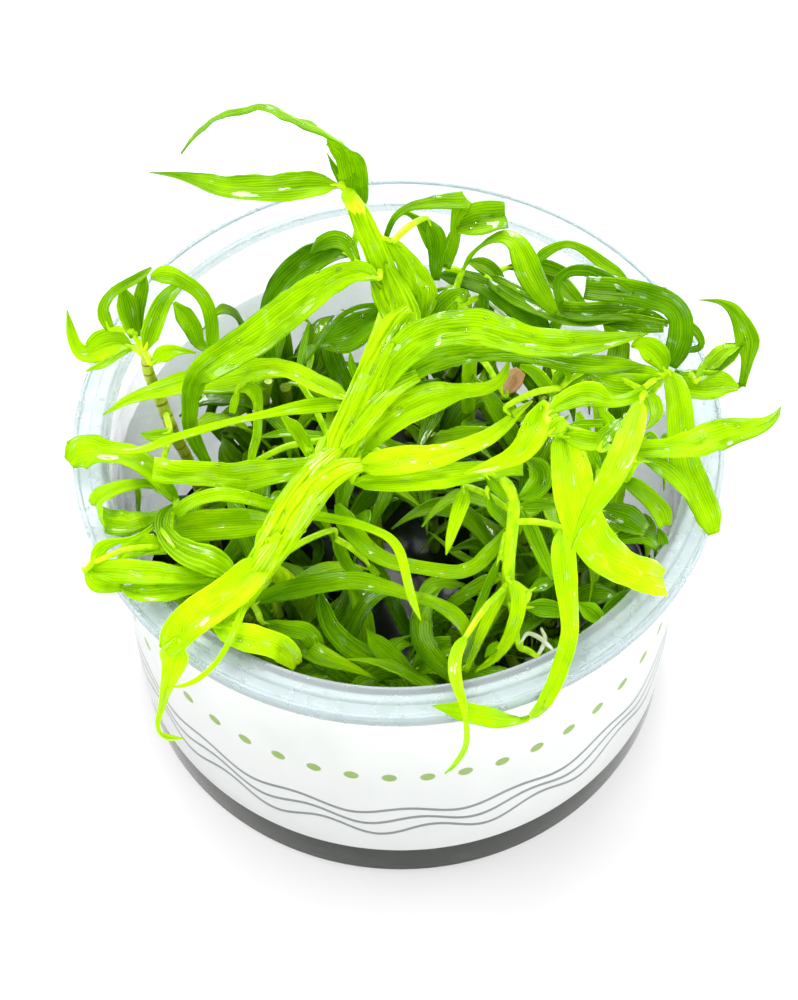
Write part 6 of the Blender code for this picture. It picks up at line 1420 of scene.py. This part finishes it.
def lower_growth(name, foot, head, sector, leaves, seed):
    """One lower shoot's stem and leaves as in the model, and the crowd of side shoots in its sector."""
    draw = np.random.RandomState(seed)
    foot, head = np.array(foot), np.array(head)
    stems = [smooth_rows([(*(foot + (head - foot) * k / 4), 2.4 - 0.075 * k) for k in range(5)], 40)]
    spines, tones = [], []
    for height, heading, reach, rise, droop, width in leaves:
        start = foot + (head - foot) * (height - foot[2]) / (head[2] - foot[2])
        spines.append(arched_spine(start, heading, reach, rise, droop, width))
        # The shoot's own leaves take a low tone: painted shade deep in the cup
        tones.append((0.35, 0.5))
    low, high = sector
    for k in range(SIDE_SHOOTS):
        angle = math.radians(low + (high - low) * (k + draw.uniform(0.2, 0.8)) / SIDE_SHOOTS)
        radius = FOOT_REACH * draw.uniform(0.1, 1.0) ** 0.5
        base = np.array((radius * math.cos(angle), radius * math.sin(angle), GEL_TOP + 0.1))
        top = base + np.array((draw.uniform(-7, 7), draw.uniform(-7, 7), draw.uniform(24, 42)))
        top[:2] *= min(1.0, TOP_REACH / max(np.hypot(*top[:2]), 1e-6))
        bend = (base + top) / 2 + np.array((draw.uniform(-3, 3), draw.uniform(-3, 3), 0))
        rows = smooth_rows([(*base, 2.0), (*bend, 1.8), (*top, 1.5)], 34)
        stems.append(rows)
        heading = draw.uniform(0, 360)
        for step in range(SIDE_LEAVES):
            share = 0.12 + 0.86 * step / (SIDE_LEAVES - 1)
            start = rows[int(share * (len(rows) - 1)), :3]
            heading += LEAF_TURN + draw.uniform(-20, 20)
            reach = draw.uniform(9, 24)
            rise = min(draw.uniform(8, 22), LOW_LEAF_TOP - start[2])
            droop, width = draw.uniform(1, 9), draw.uniform(2.0, 4.2)
            sway, twist = draw.uniform(-6, 6), draw.uniform(-70, 70)
            spines.append(arched_spine(start, heading, reach, rise, droop, width, sway, twist))
            # Side leaves are darker the lower they reach in the cup, with a random share of their own:
            # painted shade deep in the cup
            tone = 0.1 + (start[2] + rise) / 60 * draw.uniform(0.25, 0.7)
            tones.append((tone - 0.1, tone + 0.15))
    grown_leaf(name + "_leaves", spines, tones, LOWER_LEAF, "lower_growth", name, seed=seed, columns=5)
    grown_stem(name + "_stems", stems, LOWER_STEM, "lower_growth", joint_gap=9.0, sides=9)
    return stems


def foot_of(line, end=0):
    """Where a blade's or a root's end lies, and the way on into it from there."""
    line = line[::-1] if end else line
    return line[0], unit((line[1] - line[0])[None])[0]


def joined_feet(feet, stems):
    """Stalks from the nearest stem to each foot that lies off it, nearest first; each may carry the next."""
    carriers = np.vstack([rows[:, :3] for rows in stems])
    waiting, stalks = list(feet), []
    while waiting:
        costs = []
        for end, ahead, farthest in waiting:
            away = carriers - end
            # A stem that passes above the foot counts as farther, so that stalks rise
            costs.append(np.linalg.norm(away, axis=1) + 1.5 * np.maximum(away[:, 2], 0.0))
        index = int(np.argmin([cost.min() for cost in costs]))
        start = carriers[int(costs[index].argmin())]
        end, ahead, farthest = waiting.pop(index)
        gap = float(np.linalg.norm(end - start))
        if gap > farthest:
            continue
        bend = (start + end) / 2 + np.array((0, 0, 0.12 * gap))
        into = end + ahead * 1.5
        rows = [(*start, STALK_WIDTH), (*bend, STALK_WIDTH), (*end, STALK_WIDTH * 0.8), (*into, 0.3)]
        stalks.append(smooth_rows(rows, max(8, int(gap * 1.5))))
        carriers = np.vstack([carriers, stalks[-1][2:, :3]])
    return stalks


def set_drops(name, carriers, slot, seed, density, least, largest, facing_up):
    """Drops of water on some pieces' upward faces, so many to a square metre, with radii in millimetres."""
    points, faces = [], []
    for piece in carriers:
        first = len(points)
        points += [tuple(v.co) for v in piece.data.vertices]
        faces += [tuple(k + first for k in face.vertices) for face in piece.data.polygons]
    mesh = bpy.data.meshes.new(name)
    mesh.from_pydata(points, [], faces)
    sizes = {"Density": density, "Least Radius": least * MM, "Largest Radius": largest * MM,
             "Flatness": 0.5, "Facing Up": facing_up, "Seed": seed, "Material": WATER}
    return finish_piece(grow(name, mesh, DROP_TREE, sizes), slot)


def make_stage():
    """A plain white floor that runs far back, soft studio light and a camera at the standing viewpoint."""
    grid = bmesh.new()
    bmesh.ops.create_grid(grid, x_segments=1, y_segments=1, size=4.0)
    data = bpy.data.meshes.new("studio_floor")
    grid.to_mesh(data)
    grid.free()
    made, tree, output = new_surface("matt_white_board")
    place = put(tree, "ShaderNodeTexCoord").outputs["Object"]
    grain = put(tree, NOISE, {"Vector": place, "Scale": 1 / (25 * MM), "Detail": 3.0})
    white = put(tree, MIX, {
        0: grain, 6: linear("#989898"), 7: linear("#9E9E9E")}, data_type="RGBA").outputs[2]
    board = put(tree, PRINCIPLED, {
        "Base Color": white, "Roughness": 0.6, "Emission Color": linear("#FFFFFF"), "Emission Strength": 0.5})
    tree.links.new(board.outputs[0], output.inputs[0])
    data.materials.append(made)
    floor = placed("studio_floor", data)
    floor.location.z = -0.2 * MM
    world = bpy.data.worlds.new("studio")
    world.use_nodes = True
    world.node_tree.nodes["Background"].inputs[0].default_value = (1.0, 1.0, 1.0, 1.0)
    world.node_tree.nodes["Background"].inputs[1].default_value = 1.0
    bpy.context.scene.world = world
    for name, place, size, power in LAMPS:
        light = bpy.data.lights.new(name, "AREA")
        light.size = size
        light.energy = power
        lamp = placed(name, light)
        lamp.location = place
        lamp.rotation_euler = (Vector((0, 0, 60 * MM)) - Vector(place)).to_track_quat("-Z", "Y").to_euler()
        # The gloss lamp gives only the white glints on wet leaves, as a softbox behind the plant does
        lamp.visible_diffuse = name != "gloss"
        lamp.visible_transmission = name != "gloss"
    lens = bpy.data.cameras.new("standing_view")
    lens.sensor_width = 36.0
    lens.lens = VIEW_FOCUS * lens.sensor_width / PICTURE_TALL
    lens.clip_start = 0.01
    camera = placed("standing_view", lens)
    right = Vector((1, 0, 0)) * math.cos(VIEW_TILT) - VIEW_DOWN * math.sin(VIEW_TILT)
    down = Vector((1, 0, 0)) * math.sin(VIEW_TILT) + VIEW_DOWN * math.cos(VIEW_TILT)
    axes = Matrix((right, -down, VIEW_BACK)).transposed().to_4x4()
    camera.matrix_world = Matrix.Translation(VIEW_EYE * MM) @ axes
    bpy.context.scene.camera = camera
    bpy.context.scene.view_settings.view_transform = "Standard"


LEAF_TREE, STEM_TREE, DROP_TREE = leaf_tree(), stem_tree(), drop_tree()
# The first two leaf surfaces are one surface in two copies: lighter colours for painted light, darker colours
# for painted shade
LIT_LEAF = leaf_surface(
    "wet_leaf_painted_lit",
    ((0.0, "#3E7400"), (0.3, "#74AE00"), (0.55, "#A2D800"), (0.8, "#C0F000"), (1.0, "#D6FC10")),
    ((0.0, "#6CAC00"), (0.5, "#B0E600"), (1.0, "#DAFC08")))
SHADED_LEAF = leaf_surface(
    "wet_leaf_painted_shade",
    ((0.0, "#2E5A00"), (0.35, "#5E9A00"), (0.65, "#90C600"), (1.0, "#BCE800")),
    ((0.0, "#569A00"), (0.5, "#96D400"), (1.0, "#CAF200")), through=0.28)
# The low leaves take darker colours than the leaves above them: painted shade deep in the cup
LOWER_LEAF = leaf_surface(
    "wet_low_leaf_painted_shade",
    ((0.0, "#1E3E00"), (0.35, "#4C8000"), (0.65, "#84BA00"), (1.0, "#B6E400")),
    ((0.0, "#3E7C00"), (0.5, "#84C600"), (1.0, "#C0EC00")))
BROWNED = leaf_surface(
    "browned_leaf_skin",
    ((0.0, "#8A4A28"), (0.5, "#C98A62"), (1.0, "#E8C8A4")),
    ((0.0, "#A05830"), (0.5, "#D89A6C"), (1.0, "#F0D0A8")))
GREEN_STEM = stem_surface("juicy_green_stem", "#DCFF1E", "#BCEE00", "#92CC00", "#B0E000", 14.0, 0.9)
RINGED_STEM = stem_surface("old_ringed_stem", "#C6D848", "#A0AE30", "#7C7A20", "#80702A", OLD_RING_GAP, 0.26)
LOWER_STEM = stem_surface("low_stem", "#A4C020", "#78981A", "#4C6A10", "#46551A", 9.0, 0.7)
CUP_PLASTIC = cup_surface("clear_moulded_polystyrene", "#F9FDFE", 1.0, 0.02, 0.1, "#505050")
RIM_PLASTIC = cup_surface("frosted_moulded_polystyrene", "#D2DEE3", 0.62, 0.2, 0.4, "#808080")
LABEL_FILM, FILM_BACK = label_surface(), film_back_surface()
GEL, PRESSED_GEL = gel_surface("wet_agar_gel", 0.22), gel_surface("agar_gel_on_plastic", 0.04)
WATER, ROOT = water_surface(), root_surface()

cup = finish_piece(turned("culture_cup", cup_profile(), 200, CUP_PLASTIC, RIM_PLASTIC), "cup_plastic", "cup")
for face in cup.data.polygons:
    if face.center.z > 62.3 * MM and math.hypot(face.center.x, face.center.y) > 46.15 * MM:
        face.material_index = 1
finish_piece(make_label("wrap_label", LABEL_FILM, FILM_BACK), "label_film", "label")
gel = finish_piece(turned("agar_gel", gel_profile(), 120, GEL, PRESSED_GEL), "nutrient_gel", "nutrient_gel")
for face in gel.data.polygons:
    if face.normal.z < 0.3:
        face.material_index = 1

carrying_stems = []
for stem_name, (stem_foot, stem_table) in STEMS.items():
    rows = stem_rows(stem_foot, stem_table)
    carrying_stems.append(rows)
    stalk_name = stem_name.replace("_stem", "_stalk")
    if stem_name == "left_ringed_stem":
        grown_stem(stalk_name, [rows], RINGED_STEM, "ringed_stem", stem_name, joint_gap=OLD_RING_GAP,
                   joint_width=0.5, swell=0.05)
    else:
        grown_stem(stalk_name, [rows], GREEN_STEM, "green_stem", stem_name, joint_width=1.4, swell=0.03)
for number, (shoot_name, shoot) in enumerate(LOWER_SHOOTS.items()):
    carrying_stems += lower_growth(shoot_name, *shoot, seed=11 + number)

leaf_pieces, spines_of = [], {}
for number, (leaf_name, blades) in enumerate(LEAVES.items()):
    shaded = leaf_name in SHADED_LEAVES
    spines_of[leaf_name] = [seen_spine(rows, leaf_name in CUT_LEAVES) for rows in blades]
    leaf_pieces.append(grown_leaf(
        leaf_name + "_blade", spines_of[leaf_name], TONES.get(leaf_name, TONE),
        SHADED_LEAF if shaded else LIT_LEAF, "shaded_leaf" if shaded else "lit_leaf", leaf_name,
        seed=number * 3.7, **PLEATED.get(leaf_name, {})))
for number, (group_name, blades) in enumerate(SHEATHS.items()):
    leaf_pieces.append(grown_leaf(
        group_name, [seen_spine(rows) for rows in blades], TONES[group_name], LIT_LEAF, "lit_leaf",
        seed=90 + number * 4.1, columns=19, channel=-0.36, wave=0.35, crease=0.0, pleat=0.1, crumple=2.2))
for number, (group_name, blades) in enumerate(SMALL_LEAVES.items()):
    spines_of[group_name] = [seen_spine(rows) for rows in blades]
    leaf_pieces.append(grown_leaf(
        group_name, spines_of[group_name], TONES[group_name], LIT_LEAF, "lit_leaf",
        seed=200 + number * 5.3, columns=9))
spines_of["browned_leaf"] = [seen_spine(rows) for rows in BROWNED_LEAF]
grown_leaf(
    "browned_leaf", spines_of["browned_leaf"], TONE, BROWNED, "shaded_leaf", seed=301, crumple=2.6,
    columns=9)
root_lines = [smooth_rows(placed_rows(rows), 24) for rows in PALE_ROOTS]
grown_stem("pale_roots", root_lines, ROOT, "green_stem", joint_gap=30.0, joint_width=0.4, swell=0.0, sides=8)

free_feet = []
for leaf_name, ends in FREE_FEET.items():
    for blade, end in ends.items():
        free_feet.append((*foot_of(spines_of[leaf_name][blade][0], end), FARTHEST_STEM))
free_feet += [(*foot_of(line[:, :3]), FARTHEST_STEM) for line in root_lines]
for leaf_name, spines in spines_of.items():
    free_feet += [(*foot_of(spine[0]), NEAR_STEM) for blade, spine in enumerate(spines)
                  if blade not in FREE_FEET.get(leaf_name, {})]
grown_stem("leaf_feet", joined_feet(free_feet, carrying_stems), GREEN_STEM, "green_stem", swell=0.0, sides=8)
set_drops(
    "leaf_drops", leaf_pieces, "lit_leaf", seed=4, density=60000.0, least=0.18, largest=0.55,
    facing_up=0.45)
set_drops(
    "rim_drops", [cup], "cup_plastic", seed=9, density=90000.0, least=0.16, largest=0.42, facing_up=0.9)
make_stage()
